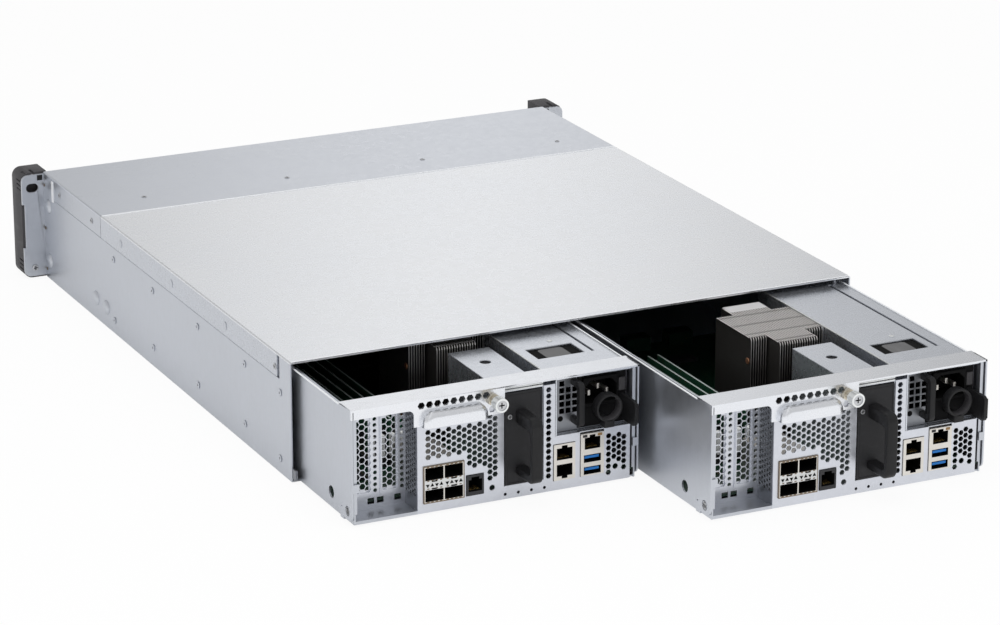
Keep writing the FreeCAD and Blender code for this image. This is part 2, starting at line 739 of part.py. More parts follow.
def jack_mouth(x, z, rear, key_up):
    """The space of one network jack: a plug's room and its latch's keyway."""
    way = RJ_HEIGHT if key_up else -RJ_NOTCH_RISE
    room = box(x - RJ_WIDTH / 2, x + RJ_WIDTH / 2, rear - RJ_DEPTH, rear, z, z + RJ_HEIGHT)
    key = box(x - RJ_NOTCH / 2, x + RJ_NOTCH / 2, rear - RJ_DEPTH, rear, z + way, z + way + RJ_NOTCH_RISE)
    return fuse(room, key)


def jacks():
    """The console jack, the double network jack and the network jack over two bus sockets."""
    rear = -PANEL_SETBACK + PORT_PROUD
    back = rear - PORT_DEPTH
    lift = BOARD_TOP + PORT_WALL
    console = box(X_CONSOLE - CONSOLE_WIDTH, X_CONSOLE, back, rear, BOARD_TOP, BOARD_TOP + CONSOLE_HEIGHT)
    console_x = X_CONSOLE - CONSOLE_WIDTH / 2
    half = RJ_WIDTH / 2 - PORT_WALL
    low = lift + RJ_NOTCH_RISE
    room = box(console_x - half, console_x + half, rear - RJ_DEPTH, rear, low, low + RJ_HEIGHT)
    console = cut(console, room)
    lan = box(X_LAN - LAN_WIDTH, X_LAN, back, rear, BOARD_TOP, BOARD_TOP + LAN_HEIGHT)
    lan_x = X_LAN - LAN_WIDTH / 2
    upper = BOARD_TOP + LAN_HEIGHT - PORT_WALL - RJ_NOTCH_RISE - RJ_HEIGHT
    lan = cut(lan, jack_mouth(lan_x, upper, rear, True), jack_mouth(lan_x, low, rear, False))
    stack = box(X_USB - USB_WIDTH, X_USB, back, rear, BOARD_TOP, BOARD_TOP + STACK_HEIGHT)
    usb_x = X_USB - USB_WIDTH / 2
    stack_top = BOARD_TOP + STACK_HEIGHT - PORT_WALL - RJ_NOTCH_RISE - RJ_HEIGHT
    mouths = [jack_mouth(usb_x, stack_top, rear, True)]
    tongues = []
    for k in range(2):
        z = lift + k * USB_PITCH
        half = USB_MOUTH_WIDTH / 2
        top = z + USB_MOUTH_HEIGHT
        mouths.append(box(usb_x - half, usb_x + half, rear - RJ_DEPTH, rear, z, top))
        tongues.append(box(usb_x - half + PORT_WALL, usb_x + half - PORT_WALL,
                           rear - RJ_DEPTH, rear - PORT_WALL, top - PORT_WALL - USB_TONGUE, top - PORT_WALL))
    stack = fuse(cut(stack, *mouths), *tongues)
    return Part.makeCompound([console, lan, stack])


def mainboard():
    """The circuit board, cut back behind the slot recess, with its plugs to the midplane."""
    side = X_IN - FIT
    end = -CANISTER_DEPTH + PLUG_ROOM
    recess = -PANEL_SETBACK - RECESS_DEPTH - SHEET - FIT
    rear = PANEL_BACK - FIT
    notch = X_RECESS - SHEET - FIT
    outline = [(-side, rear), (notch, rear), (notch, recess), (side, recess), (side, end), (-side, end)]
    board = slab("XY", BOARD_Z, BOARD_TOP, polygon("XY", outline))
    plugs = []
    for x in (X_RECESS, 0, X_STRIP):
        plugs.append(box(x - AIR_HOLE_HEIGHT, x + AIR_HOLE_HEIGHT, end, end + 2 * PLUG_ROOM,
                         BOARD_TOP, BOARD_TOP + AIR_HOLE_HEIGHT))
    return Part.makeCompound([board, *plugs])


def memory_modules():
    """Standing memory boards, each held in its socket."""
    pieces = []
    end = -MODULE_SETBACK - MODULE_LENGTH
    for k in range(MODULE_COUNT):
        x = X_IN - MODULE_OFFSET - k * MODULE_PITCH
        socket = box(x - SOCKET_WIDTH / 2, x + SOCKET_WIDTH / 2, end - SOCKET_WIDTH,
                     -MODULE_SETBACK + SOCKET_WIDTH, BOARD_TOP, BOARD_TOP + SOCKET_HEIGHT)
        seat = BOARD_TOP + SOCKET_HEIGHT / 2
        module = box(x - MODULE_SHEET / 2, x + MODULE_SHEET / 2, end, -MODULE_SETBACK,
                     seat, seat + MODULE_HEIGHT)
        pieces += [cut(socket, module), module]
    return Part.makeCompound(pieces)


def heatsink():
    """A base plate with upright fins, the middle ones longer than the rest."""
    middle_x = X_IN - SINK_OFFSET - SINK_WIDTH / 2
    middle_y = -SINK_SETBACK - SINK_LENGTH / 2
    top = WALL_TOP - SINK_ROOF_ROOM
    pieces = [box(middle_x - SINK_WIDTH / 2, middle_x + SINK_WIDTH / 2,
                  middle_y - SINK_LENGTH / 2, middle_y + SINK_LENGTH / 2, BOARD_TOP, BOARD_TOP + SINK_BASE)]
    step = (SINK_WIDTH - FIN_SHEET) / (FIN_COUNT - 1)
    for k in range(FIN_COUNT):
        x = middle_x - SINK_WIDTH / 2 + k * step
        core = abs(x + FIN_SHEET / 2 - middle_x) < SINK_CORE_WIDTH / 2
        length = SINK_CORE_LENGTH if core else SINK_LENGTH
        pieces.append(box(x, x + FIN_SHEET, middle_y - length / 2, middle_y + length / 2,
                          BOARD_TOP + SINK_BASE, top))
    return fuse(*pieces)


def bay_frame():
    """The power supply's shelf, wall and cover, and the battery's tube."""
    end = -PSU_SETBACK - PSU_LENGTH - PANEL_SETBACK
    rear = -PANEL_SETBACK
    wall = X_PSU - FIT
    channel = [
        (-X_IN, WALL_TOP),
        (wall, WALL_TOP),
        (wall, SHELF_Z),
        (-X_IN, SHELF_Z),
        (-X_IN, SHELF_TOP),
        (wall - SHEET, SHELF_TOP),
        (wall - SHEET, WALL_TOP - SHEET),
        (-X_IN, WALL_TOP - SHEET),
    ]
    frame = slab("XZ", end, PANEL_BACK, polygon("XZ", channel))
    frame = fuse(frame, box(wall, wall - SHEET, PANEL_BACK, rear, SHELF_TOP, WALL_TOP))
    window = box(X_PSU - WINDOW_OFFSET - WINDOW_WIDTH, X_PSU - WINDOW_OFFSET,
                 -WINDOW_SETBACK - WINDOW_LENGTH, -WINDOW_SETBACK, WALL_TOP - SHEET, WALL_TOP)
    rift = box(X_PSU - RIFT_OFFSET - RIFT_WIDTH, X_PSU - RIFT_OFFSET,
               -WINDOW_SETBACK - RIFT_LENGTH, -WINDOW_SETBACK, WALL_TOP - SHEET, WALL_TOP)
    hem = box(-X_IN, -X_IN + SHEET, -PANEL_SETBACK - HEM_LENGTH, rear, SHELF_Z, WALL_TOP)
    frame = cut(frame, window, rift, hem)
    outer = rectangle("XZ", X_STRIP - SHEET / 2, X_BBU + SHEET / 2, TUBE_Z, TUBE_TOP)
    inner = rectangle("XZ", X_STRIP + SHEET / 2, X_BBU - SHEET / 2, TUBE_Z + SHEET, TUBE_TOP - SHEET)
    tube = slab("XZ", PANEL_BACK - BBU_TUBE_LENGTH, PANEL_BACK, outer, [inner])
    round_hole = many_sided("XY", (X_BBU + X_STRIP) / 2, -BBU_HOLE_SETBACK, BBU_HOLE_RADIUS, HOLE_SIDE_COUNT)
    hole = slab("XY", TUBE_TOP - SHEET, TUBE_TOP, round_hole)
    return Part.makeCompound([frame, cut(tube, hole)])


# Lever and its screw
SCREW_X = X_BBU + SCREW_OFFSET
SCREW_Z = LEVER_TOP - SCREW_DROP


def scoop_form(inset, depth):
    """The body of the finger scoop, drawn in by an inset all round its closed sides."""
    x0, x1 = SCOOP_X - SCOOP_WIDTH + inset, SCOOP_X - inset
    low, high = PLATE_Z, PLATE_Z + SCOOP_HEIGHT - inset
    radius = SCOOP_RADIUS - inset
    lip = SCOOP_DRAFT
    base = rounded("XZ", x0, x1, low, high, (0, 0, radius, radius))
    crown = rounded("XZ", x0 + lip, x1 - lip, low, high - lip, (0, 0, radius - lip / 2, radius - lip / 2))
    crown.translate(Vector(0, depth, 0))
    return Part.makeLoft([base, crown], True, True)


def lever_arm():
    """The left arm: a strip with a pivot hole, a claw at its foot and a stop tab."""
    foot = TRAY_Z + SHEET / 2
    heel = PIVOT_Z - PIVOT_RISE + 2 * SHEET
    claw = PIVOT_SETBACK + 2 * PIVOT_RADIUS
    outline = [
        (0, LEVER_TOP),
        (0, PIVOT_Z - PIVOT_RADIUS / 2),
        (-PIVOT_SETBACK + PIVOT_RADIUS, heel - SHEET / 2),
        (-PIVOT_SETBACK - PIVOT_RADIUS, heel - SHEET / 2),
        (-PIVOT_SETBACK - PIVOT_RADIUS, PIVOT_Z - PIVOT_RADIUS - SHEET),
        (-claw, PIVOT_Z - PIVOT_RADIUS - SHEET),
        (-claw, foot),
        (-ARM_WIDTH - PIVOT_RADIUS, foot),
        (-ARM_WIDTH - PIVOT_RADIUS, PIVOT_Z),
        (-ARM_WIDTH, PIVOT_Z + PIVOT_RADIUS),
        (-ARM_WIDTH, LEVER_TOP),
    ]
    hole = many_sided("YZ", -PIVOT_SETBACK, PIVOT_Z, PIVOT_RADIUS + 2 * FIT, HOLE_SIDE_COUNT)
    arm = slab("YZ", X_ARM, X_ARM + SHEET, polygon("YZ", outline), [hole])
    low = TRAY_Z + STOP_TAB_RISE
    tab = box(X_IN, X_ARM + SHEET, -SHEET, 0, low, low + STOP_TAB_HEIGHT)
    return fuse(arm, tab)


def lever():
    """The bail across the canister: flange, stepped face plate with a scoop, and two arms."""
    side = X_ARM + SHEET
    strip = LEVER_TOP - LEVER_STRIP_DROP
    step = X_RECESS + LEVER_STEP
    wide = box(step, side, -SHEET, 0, strip, LEVER_TOP)
    row = [hexagon("XZ", SCOOP_X - k * LEVER_VENT_PITCH, LEVER_TOP - LEVER_VENT_DROP, LEVER_VENT_FLATS)
           for k in range(LEVER_VENTS)]
    lone = hexagon("XZ", SCREW_X, (PLATE_Z + SCREW_Z) / 2 - SHEET / 2, LEVER_VENT_FLATS)
    bore = many_sided("XZ", SCREW_X, SCREW_Z, SCREW_SHANK + 2 * FIT, HOLE_SIDE_COUNT)
    plate = slab("XZ", -SHEET, 0, rectangle("XZ", X_BBU, step, PLATE_Z, LEVER_TOP), row + [lone, bore])
    centre_x, centre_z = step + LEVER_STEP_RADIUS, strip - LEVER_STEP_RADIUS
    corner = [(step, strip)]
    for k in range(CORNER_STEPS + 1):
        turn = math.radians(180 - 90 * k / CORNER_STEPS)
        corner.append((centre_x + LEVER_STEP_RADIUS * math.cos(turn),
                       centre_z + LEVER_STEP_RADIUS * math.sin(turn)))
    web = slab("XZ", -SHEET, 0, polygon("XZ", corner))
    flange = box(-side, side, -LEVER_FLANGE, 0, LEVER_TOP - SHEET, LEVER_TOP)
    arm = lever_arm()
    hollow = scoop_form(SHEET, SCOOP_DEPTH - SHEET)
    mouth = box(SCOOP_X - SCOOP_WIDTH + SHEET, SCOOP_X - SHEET, -SHEET, 0,
                PLATE_Z, PLATE_Z + SCOOP_HEIGHT - SCOOP_RADIUS)
    shape = fuse(wide, plate, web, flange, arm, mirrored(arm), scoop_form(0, SCOOP_DEPTH))
    shape = cut(shape, hollow, mouth)
    bend = edges_where(shape, lambda p: near(p.y, 0) and near(p.z, LEVER_TOP))
    return shape.makeFillet(BEND, [e for e in bend if e.Length > TRAY_IN])


def thumbscrew():
    """A captive screw sprung out of the lever, with a hexagon collar and a gripped knob."""
    knob = SCREW_REACH - SCREW_KNOB_LENGTH
    collar_end = FIT + SCREW_COLLAR_LENGTH
    shank = rod("XZ", SCREW_X, SCREW_Z, SCREW_SHANK, -SHEET, FIT)
    sides = many_sided("XZ", SCREW_X, SCREW_Z, SCREW_COLLAR, SCREW_COLLAR_SIDE_COUNT)
    collar = slab("XZ", FIT, collar_end, sides)
    sides = many_sided("XZ", SCREW_X, SCREW_Z, SCREW_NECK, SCREW_NECK_SIDE_COUNT)
    neck = slab("XZ", collar_end, knob, sides)
    sides = many_sided("XZ", SCREW_X, SCREW_Z, SCREW_KNOB, SCREW_KNOB_SIDE_COUNT)
    head = slab("XZ", knob, SCREW_REACH, sides)
    return fuse(shank, collar, neck, head)


# Power supply
PSU_X = X_PSU - PSU_INSET
PSU_FACE = -PANEL_SETBACK - PSU_SETBACK
INLET_X = PSU_X - INLET_OFFSET
INLET_TOP = PSU_TOP - PSU_WALL - INLET_ROOF_ROOM
LATCH_X = PSU_X - LATCH_OFFSET
LATCH_Z = PSU_Z + LATCH_RISE
PIVOT_Y = PSU_FACE - LATCH_ROOT


def psu_case():
    """A folded case whose face has a grille, an inlet hole and a slot for the latch."""
    x0, x1 = PSU_X - PSU_WIDTH, PSU_X
    end = PSU_FACE - PSU_LENGTH
    shell = slab("XZ", end, PSU_FACE, rectangle("XZ", x0, x1, PSU_Z, PSU_TOP),
                 [rectangle("XZ", x0 + PSU_WALL, x1 - PSU_WALL, PSU_Z + PSU_WALL, PSU_TOP - PSU_WALL)])
    holes = []
    for column in range(GRILLE_COLUMNS):
        for row in range(min(column, 1), GRILLE_ROWS):
            x = x1 - GRILLE_MARGIN - GRILLE_PITCH * column
            z = PSU_TOP - GRILLE_MARGIN - GRILLE_PITCH * row
            half = GRILLE_HOLE / 2
            holes.append(rectangle("XZ", x - half, x + half, z - half, z + half))
    holes.append(rectangle("XZ", INLET_X - INLET_WIDTH - FIT, INLET_X + FIT,
                           INLET_TOP - INLET_HEIGHT - FIT, INLET_TOP + FIT))
    holes.append(rectangle("XZ", LATCH_X - 2 * FIT, LATCH_X + LATCH_SHEET + LATCH_SWING_ROOM,
                           LATCH_Z - FIT, LATCH_Z + LATCH_HEIGHT + FIT))
    face = slab("XZ", PSU_FACE - PSU_WALL, PSU_FACE,
                rectangle("XZ", x0 + PSU_WALL, x1 - PSU_WALL, PSU_Z + PSU_WALL, PSU_TOP - PSU_WALL), holes)
    lug = 2 * LATCH_BARREL
    seat = box(LATCH_X - lug, LATCH_X + lug, PIVOT_Y - lug, PIVOT_Y + lug, PSU_Z + PSU_WALL, LATCH_Z - FIT)
    return fuse(shell, face, seat)


def power_inlet():
    """A three pin inlet, with two corners of its mouth cut off."""
    x0, x1 = INLET_X - INLET_WIDTH, INLET_X
    z0, z1 = INLET_TOP - INLET_HEIGHT, INLET_TOP
    rear = PSU_FACE + INLET_PROUD
    block = box(x0, x1, rear - INLET_DEPTH, rear, z0, z1)
    middle_x, middle_z = (x0 + x1) / 2, (z0 + z1) / 2
    a, b = INLET_MOUTH_WIDTH / 2, INLET_MOUTH_HEIGHT / 2
    mouth = polygon("XZ", [
        (middle_x - a, middle_z - b),
        (middle_x + a, middle_z - b),
        (middle_x + a, middle_z + b - INLET_CHAMFER),
        (middle_x + a - INLET_CHAMFER, middle_z + b),
        (middle_x - a + INLET_CHAMFER, middle_z + b),
        (middle_x - a, middle_z + b - INLET_CHAMFER),
    ])
    floor = rear - INLET_MOUTH_DEPTH
    block = cut(block, slab("XZ", floor, rear, mouth))
    pins = []
    for k in (-1, 0, 1):
        x = middle_x + k * PIN_SPREAD
        z = middle_z + (PIN_WIDTH if k == 0 else -PIN_WIDTH)
        pins.append(box(x - PIN_WIDTH / 2, x + PIN_WIDTH / 2, floor, floor + PIN_LENGTH,
                        z - PIN_HEIGHT / 2, z + PIN_HEIGHT / 2))
    return fuse(block, *pins)


def psu_handle():
    """A bent bar to draw the supply out by, upright beside the grille."""
    x = PSU_X - HANDLE_OFFSET
    high = PSU_TOP - HANDLE_ROOF_ROOM
    low = PSU_Z + HANDLE_FLOOR_ROOM
    out = PSU_FACE + HANDLE_REACH
    outer = rounded("YZ", PSU_FACE, out, low, high, (0, HANDLE_BAR, HANDLE_BAR, 0))
    inner = rectangle("YZ", PSU_FACE - HANDLE_BAR, out - HANDLE_BAR, low + HANDLE_BAR, high - HANDLE_BAR)
    bar = slab("YZ", x - HANDLE_BAR, x, outer)
    return cut(bar, slab("YZ", x - HANDLE_BAR, x, inner))


def psu_latch():
    """A flat release finger on an upright barrel, with a thicker thumb end."""
    high = LATCH_Z + LATCH_HEIGHT
    out = PSU_FACE + LATCH_REACH
    finger = box(LATCH_X, LATCH_X + LATCH_SHEET, PIVOT_Y, out, LATCH_Z, high)
    thumb = box(LATCH_X - LATCH_SHEET / 2, LATCH_X + LATCH_SHEET, out - LATCH_THUMB, out, LATCH_Z, high)
    barrel = rod("XY", LATCH_X, PIVOT_Y, LATCH_BARREL, LATCH_Z, high)
    return fuse(finger, thumb, barrel)


def cord_clamp():
    """A ring for the power cord, on a foot that stands out of the face below the inlet."""
    x = PSU_X - CLAMP_OFFSET
    middle = (PSU_Z + PSU_WALL + INLET_TOP - INLET_HEIGHT) / 2
    foot_z = middle - CLAMP_FOOT_SHEET / 2
    z = middle + CLAMP_OUTER
    out = PSU_FACE + CLAMP_REACH
    rim = many_sided("XZ", x, z, CLAMP_OUTER, CLAMP_SIDE_COUNT)
    inside = many_sided("XZ", x, z, CLAMP_OUTER - CLAMP_WALL, CLAMP_SIDE_COUNT)
    ring = slab("XZ", out, out + CLAMP_BAND, rim, [inside])
    foot = box(x - CLAMP_FOOT / 2, x + CLAMP_FOOT / 2, PSU_FACE, out + CLAMP_BAND,
               foot_z, foot_z + CLAMP_FOOT_SHEET)
    return fuse(ring, foot.cut(slab("XZ", out, out + CLAMP_BAND, inside)))


FAN_X = PSU_X - PSU_WIDTH / 2
FAN_Z = (PSU_Z + PSU_TOP) / 2
FAN_SIZE = PSU_TOP - PSU_Z - 2 * PSU_WALL
FAN_BORE = FAN_SIZE / 2 - FAN_TIP_ROOM
FAN_END = PSU_FACE - PSU_LENGTH


def fan_frame():
    """The fan's square frame, with a motor plate on struts behind the rotor."""
    half = FAN_SIZE / 2
    square = rectangle("XZ", FAN_X - half, FAN_X + half, FAN_Z - half, FAN_Z + half)
    bore = many_sided("XZ", FAN_X, FAN_Z, FAN_BORE, FAN_SIDE_COUNT)
    ring = slab("XZ", FAN_END, FAN_END + FAN_DEPTH, square, [bore])
    near_y = FAN_END + FAN_DEPTH - FAN_PLATE
    motor = many_sided("XZ", FAN_X, FAN_Z, FAN_HUB, FAN_PLATE_SIDE_COUNT)
    plate = slab("XZ", near_y, near_y + FAN_PLATE, motor)
    reach = FAN_BORE + FAN_TIP_ROOM / 2
    struts = [box(FAN_X - reach, FAN_X + reach, near_y, near_y + FAN_PLATE,
                  FAN_Z - FAN_STRUT / 2, FAN_Z + FAN_STRUT / 2),
              box(FAN_X - FAN_STRUT / 2, FAN_X + FAN_STRUT / 2, near_y, near_y + FAN_PLATE,
                  FAN_Z - reach, FAN_Z + reach)]
    return fuse(ring, plate, *struts)


def fan_rotor():
    """A hub with pitched blades, just clear of the motor plate."""
    y1 = FAN_END + FAN_DEPTH - FAN_PLATE - FIT
    y0 = FAN_END + FIT
    middle = (y0 + y1) / 2
    hub = slab("XZ", y0, y1, many_sided("XZ", 0, 0, FAN_HUB, 2 * FAN_BLADES))
    tip = FAN_BORE - 2 * FAN_TIP_ROOM
    blade = box(FAN_HUB / 2, tip, -BLADE_CHORD / 2, BLADE_CHORD / 2, -BLADE_SHEET / 2, BLADE_SHEET / 2)
    blade.rotate(Vector(0, 0, 0), Vector(1, 0, 0), BLADE_PITCH)
    blade.translate(Vector(0, middle, 0))
    blades = []
    for k in range(FAN_BLADES):
        copy = blade.copy()
        copy.rotate(Vector(0, 0, 0), Vector(0, 1, 0), 360 * k / FAN_BLADES)
        blades.append(copy)
    rotor = fuse(hub, *blades)
    rotor.translate(Vector(FAN_X, 0, FAN_Z))
    return rotor


# Battery backup module
BBU_FACE = -SHEET


def bbu_case():
    """The battery's box, a running fit in its tube."""
    x0, x1 = X_STRIP + SHEET / 2 + FIT, X_BBU - SHEET / 2 - FIT
    z0, z1 = TUBE_Z + SHEET + FIT, TUBE_TOP - SHEET - FIT
    body = box(x0, x1, BBU_FACE - BBU_LENGTH, BBU_FACE, z0, z1)
    rim = edges_where(body, lambda p: near(p.y, BBU_FACE))
    return body.makeChamfer(BEND / 2, rim)


def bbu_handle():
    """A bow grip that stands out of the battery's face."""
    x = (X_BBU + X_STRIP) / 2 + GRIP_BAR / 2 - GRIP_WIDTH / 2
    low = TUBE_Z + GRIP_RISE
    high = low + GRIP_HEIGHT
    out = BBU_FACE + GRIP_REACH
    outer = rounded("YZ", BBU_FACE, out, low, high, (0, GRIP_RADIUS, GRIP_RADIUS, 0))
    inner = rectangle("YZ", BBU_FACE - GRIP_RADIUS, out - GRIP_BAR, low + GRIP_BAR, high - GRIP_BAR)
    return cut(slab("YZ", x, x + GRIP_WIDTH, outer), slab("YZ", x, x + GRIP_WIDTH, inner))


CANISTER_PIECES = {
    "tray": tray,
    "rear_panel": rear_panel,
    "slot_covers": slot_covers,
    "sfp_cage": sfp_cage,
    "jacks": jacks,
    "mainboard": mainboard,
    "memory_modules": memory_modules,
    "heatsink": heatsink,
    "bay_frame": bay_frame,
    "lever": lever,
    "thumbscrew": thumbscrew,
    "psu_case": psu_case,
    "power_inlet": power_inlet,
    "psu_handle": psu_handle,
    "psu_latch": psu_latch,
    "cord_clamp": cord_clamp,
    "fan_frame": fan_frame,
    "fan_rotor": fan_rotor,
    "bbu_case": bbu_case,
    "bbu_handle": bbu_handle,
}

BODY_PIECES = {
    "chassis_base": chassis_base,
    "front_cover": front_cover,
    "rear_cover": rear_cover,
    "rack_ears": lambda: pair(rack_ear()),
    "ear_caps": lambda: pair(ear_cap()),
    "drive_cage": drive_cage,
    "midplane_board": midplane_board,
    "bay_divider": bay_divider,
}


def main():
    os.makedirs("parts", exist_ok=True)
    for name, make in BODY_PIECES.items():
        make().exportStep(f"parts/{name}.step")
    for index in range(DRIVE_COLUMNS * DRIVE_ROWS):
        carrier = drive_carrier(index // DRIVE_ROWS, index % DRIVE_ROWS)
        carrier.exportStep(f"parts/drive_carrier_{index + 1:02d}.step")
    for name, make in CANISTER_PIECES.items():
        shape = make()
        for side, x, pull in (("left", CANISTER_X, PULL_LEFT), ("right", -CANISTER_X, PULL_RIGHT)):
            placed = shape.copy()
            placed.translate(Vector(x, REAR + pull, 0))
            placed.exportStep(f"parts/{side}_{name}.step")


main()
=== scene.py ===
"""Looks of a rackmount storage server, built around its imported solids."""
import json
import math

import bmesh
import bpy
from bpy.props import FloatProperty, FloatVectorProperty, IntProperty, PointerProperty
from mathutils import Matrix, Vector


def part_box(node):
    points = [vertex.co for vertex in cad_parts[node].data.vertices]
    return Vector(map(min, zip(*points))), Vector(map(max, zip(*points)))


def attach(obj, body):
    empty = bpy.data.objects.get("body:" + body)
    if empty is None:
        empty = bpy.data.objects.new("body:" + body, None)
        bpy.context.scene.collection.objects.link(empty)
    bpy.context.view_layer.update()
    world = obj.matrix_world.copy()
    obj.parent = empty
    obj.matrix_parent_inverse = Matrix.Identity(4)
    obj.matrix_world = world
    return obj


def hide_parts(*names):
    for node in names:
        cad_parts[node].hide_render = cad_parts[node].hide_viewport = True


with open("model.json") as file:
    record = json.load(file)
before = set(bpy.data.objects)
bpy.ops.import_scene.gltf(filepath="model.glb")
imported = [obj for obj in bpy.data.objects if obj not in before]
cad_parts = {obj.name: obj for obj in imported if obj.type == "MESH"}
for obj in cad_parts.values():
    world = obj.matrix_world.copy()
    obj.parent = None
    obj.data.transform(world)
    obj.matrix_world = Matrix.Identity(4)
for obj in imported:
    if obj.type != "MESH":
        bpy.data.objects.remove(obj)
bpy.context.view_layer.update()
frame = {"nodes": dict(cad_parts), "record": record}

bl_info = {
    "name": "Rackmount storage server",
    "version": (1, 0, 0),
    "blender": (4, 5, 0),
    "location": "View3D > Sidebar > Server",
    "description": "Dresses the solids of a two-canister storage server",
    "category": "Object",
}

MM = 0.001
QUARTER = math.pi / 2
SIDES = ("left", "right")
LEVER_STEP = 1.5  # from the tray's end to the lever's outer face
# Where each canister's own frame stands, in millimetres: its middle, and its lever's outer face
CANISTERS = {
    side: (sum(p.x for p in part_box(f"{side}_lever")) / 2 / MM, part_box(f"{side}_tray")[1].y / MM + LEVER_STEP)
    for side in SIDES
}
ALIGNED = 0.99  # cosine above which a face or edge counts as along an axis
NEAR = 0.05  # how close an edge lies to a place given for it


# Settings
def length(name, description, default):
    return FloatProperty(name=name, description=description, default=default * MM, unit="LENGTH", precision=4)


def number(name, description, default, low=0.0):
    return FloatProperty(name=name, description=description, default=default, min=low)


def amount(name, description, default, low):
    return IntProperty(name=name, description=description, default=default, min=low)


def colour(name, description, default):
    return FloatVectorProperty(name=name, description=description, default=default, size=3, min=0, max=1,
                               subtype="COLOR")


class ServerVents(bpy.types.PropertyGroup):
    """Punched holes of the rear panels"""

    flats: length("Hexagon", "Width of a vent across its flats", 3.7)
    row_pitch: length("Row pitch", "Height from one vent to the next in a column", 4.5)
    column_pitch: length("Column pitch", "Width from one column of vents to the next", 3.87)
    dot: length("Round hole", "Radius of the round holes of the slot recess", 1.45)
    slot_flats: length("Slot hexagon", "Width of a vent of the slot covers across its flats", 4.2)


class ServerParts(bpy.types.PropertyGroup):
    """Repeated parts"""

    fins: amount("Fins", "Fins of each heatsink", 30, 4)
    module_chips: amount("Chips", "Chips on each face of a memory module", 9, 1)
    rivet: length("Rivet", "Radius of the case's rivet heads", 2.7)
    grip_ribs: amount("Grip ribs", "Ribs round the knob of a thumbscrew", 12, 6)


class ServerColours(bpy.types.PropertyGroup):
    """Colours of the finishes"""

    zinc: colour("Zinc", "Zinc plated sheet", (0.615, 0.64, 0.69))
    bright_zinc: colour("Bright zinc", "Zinc of the rear cover and panels", (0.885, 0.912, 0.985))
    black: colour("Black", "Moulded black parts", (0.011, 0.011, 0.012))
    cap: colour("Cap", "Moulded caps of the rack ears", (0.056, 0.054, 0.058))
    mask: colour("Solder mask", "Circuit boards", (0.005, 0.022, 0.012))
    nickel: colour("Nickel", "Port shells", (0.76, 0.73, 0.68))
    fin: colour("Fins", "Heatsink fins", (0.96, 0.895, 0.855))
    blue: colour("Blue", "Tongues of the fast bus sockets", (0.02, 0.20, 0.62))


class ServerStage(bpy.types.PropertyGroup):
    """Camera and light"""

    lens: number("Lens", "Focal length in millimetres", 140.63, 10)
    fill: number("Fill", "Strength of the surrounding light", 0.62)
    band: number("Band", "Half width of the bright band in reflections", 0.11, 0.01)
    dim: number("Dim", "Strength of reflections beside the bright band", 0.08)
    plain: number("Plain", "Strength of reflections away from the bright band", 0.6)
    side_sheen: number("Side sheen", "White of the floor in the case's sides", 0.05)
    key: number("Key", "Power of the overhead lamp in watts", 36.0)


FINISHES = {}  # the materials by name, once they are made


# Modelling helpers. Sizes and places are in millimetres
def clear():
    """Object mode with nothing selected."""
    if bpy.context.object and bpy.context.object.mode != "OBJECT":
        bpy.ops.object.mode_set(mode="OBJECT")
    bpy.ops.object.select_all(action="DESELECT")


def activate(piece):
    clear()
    piece.select_set(True)
    bpy.context.view_layer.objects.active = piece


def named(name):
    """The primitive just added, with its place moved into its mesh."""
    bpy.ops.object.transform_apply(location=True, rotation=True, scale=True)
    piece = bpy.context.active_object
    piece.name = name
    return piece


def block(name, x, y, z, finish=None, rounding=0.0, steps=2):
    """A box between two values along each axis, with its edges rounded and its finish if given."""
    clear()
    middle = [(a + b) / 2 * MM for a, b in (x, y, z)]
    size = [(b - a) * MM for a, b in (x, y, z)]
    bpy.ops.mesh.primitive_cube_add(size=1, location=middle, scale=size)
    piece = named(name)
    if rounding:
        soften(piece, rounding, steps)
    return coat(piece, finish) if finish else piece


def bar(name, axis, middle, radius, length, sides=24, spin=0.0):
    """A prism along an axis, with a corner up unless it is spun."""
    clear()
    turn = {"X": (0, QUARTER, 0), "Y": (QUARTER, spin, 0), "Z": (0, 0, spin)}[axis]
    bpy.ops.mesh.primitive_cylinder_add(vertices=sides, radius=radius * MM, depth=length * MM, rotation=turn,
                                        location=[a * MM for a in middle])
    return named(name)


def pick(piece, kind, test):
    """Edit mode, with the faces, edges or vertices that pass a test selected."""
    activate(piece)
    bpy.ops.object.mode_set(mode="EDIT")
    bpy.ops.mesh.select_mode(type=kind)
    bpy.ops.mesh.select_all(action="DESELECT")
    mesh = bmesh.from_edit_mesh(piece.data)
    for item in {"FACE": mesh.faces, "EDGE": mesh.edges, "VERT": mesh.verts}[kind]:
        if test(item):
            item.select_set(True)
    mesh.select_flush_mode()
    bmesh.update_edit_mesh(piece.data)


def facing(axis, sign):
    """A test for faces that look along an axis."""
    index = "XYZ".index(axis)
    return lambda face: face.normal[index] * sign > ALIGNED


def running(axis, *places):
    """A test for edges along an axis that pass through places given as (axis, value)."""
    index = "XYZ".index(axis)

    def test(edge):
        a, b = (v.co for v in edge.verts)
        along = (b - a).normalized()
        if abs(along[index]) < ALIGNED:
            return False
        return all(abs((a + b)["XYZ".index(c)] / 2 - value * MM) < NEAR * MM for c, value in places)
    return test


def inset(piece, axis, sign, *steps):
    """Insets the faces that look along an axis, in steps of width and height."""
    pick(piece, "FACE", facing(axis, sign))
    for width, height in steps:
        bpy.ops.mesh.inset(thickness=width * MM, depth=height * MM)
    clear()
    return piece


def round_edges(piece, test, radius, steps=4):
    pick(piece, "EDGE", test)
    bpy.ops.mesh.bevel(offset=radius * MM, segments=steps, affect="EDGES", clamp_overlap=True)
    clear()


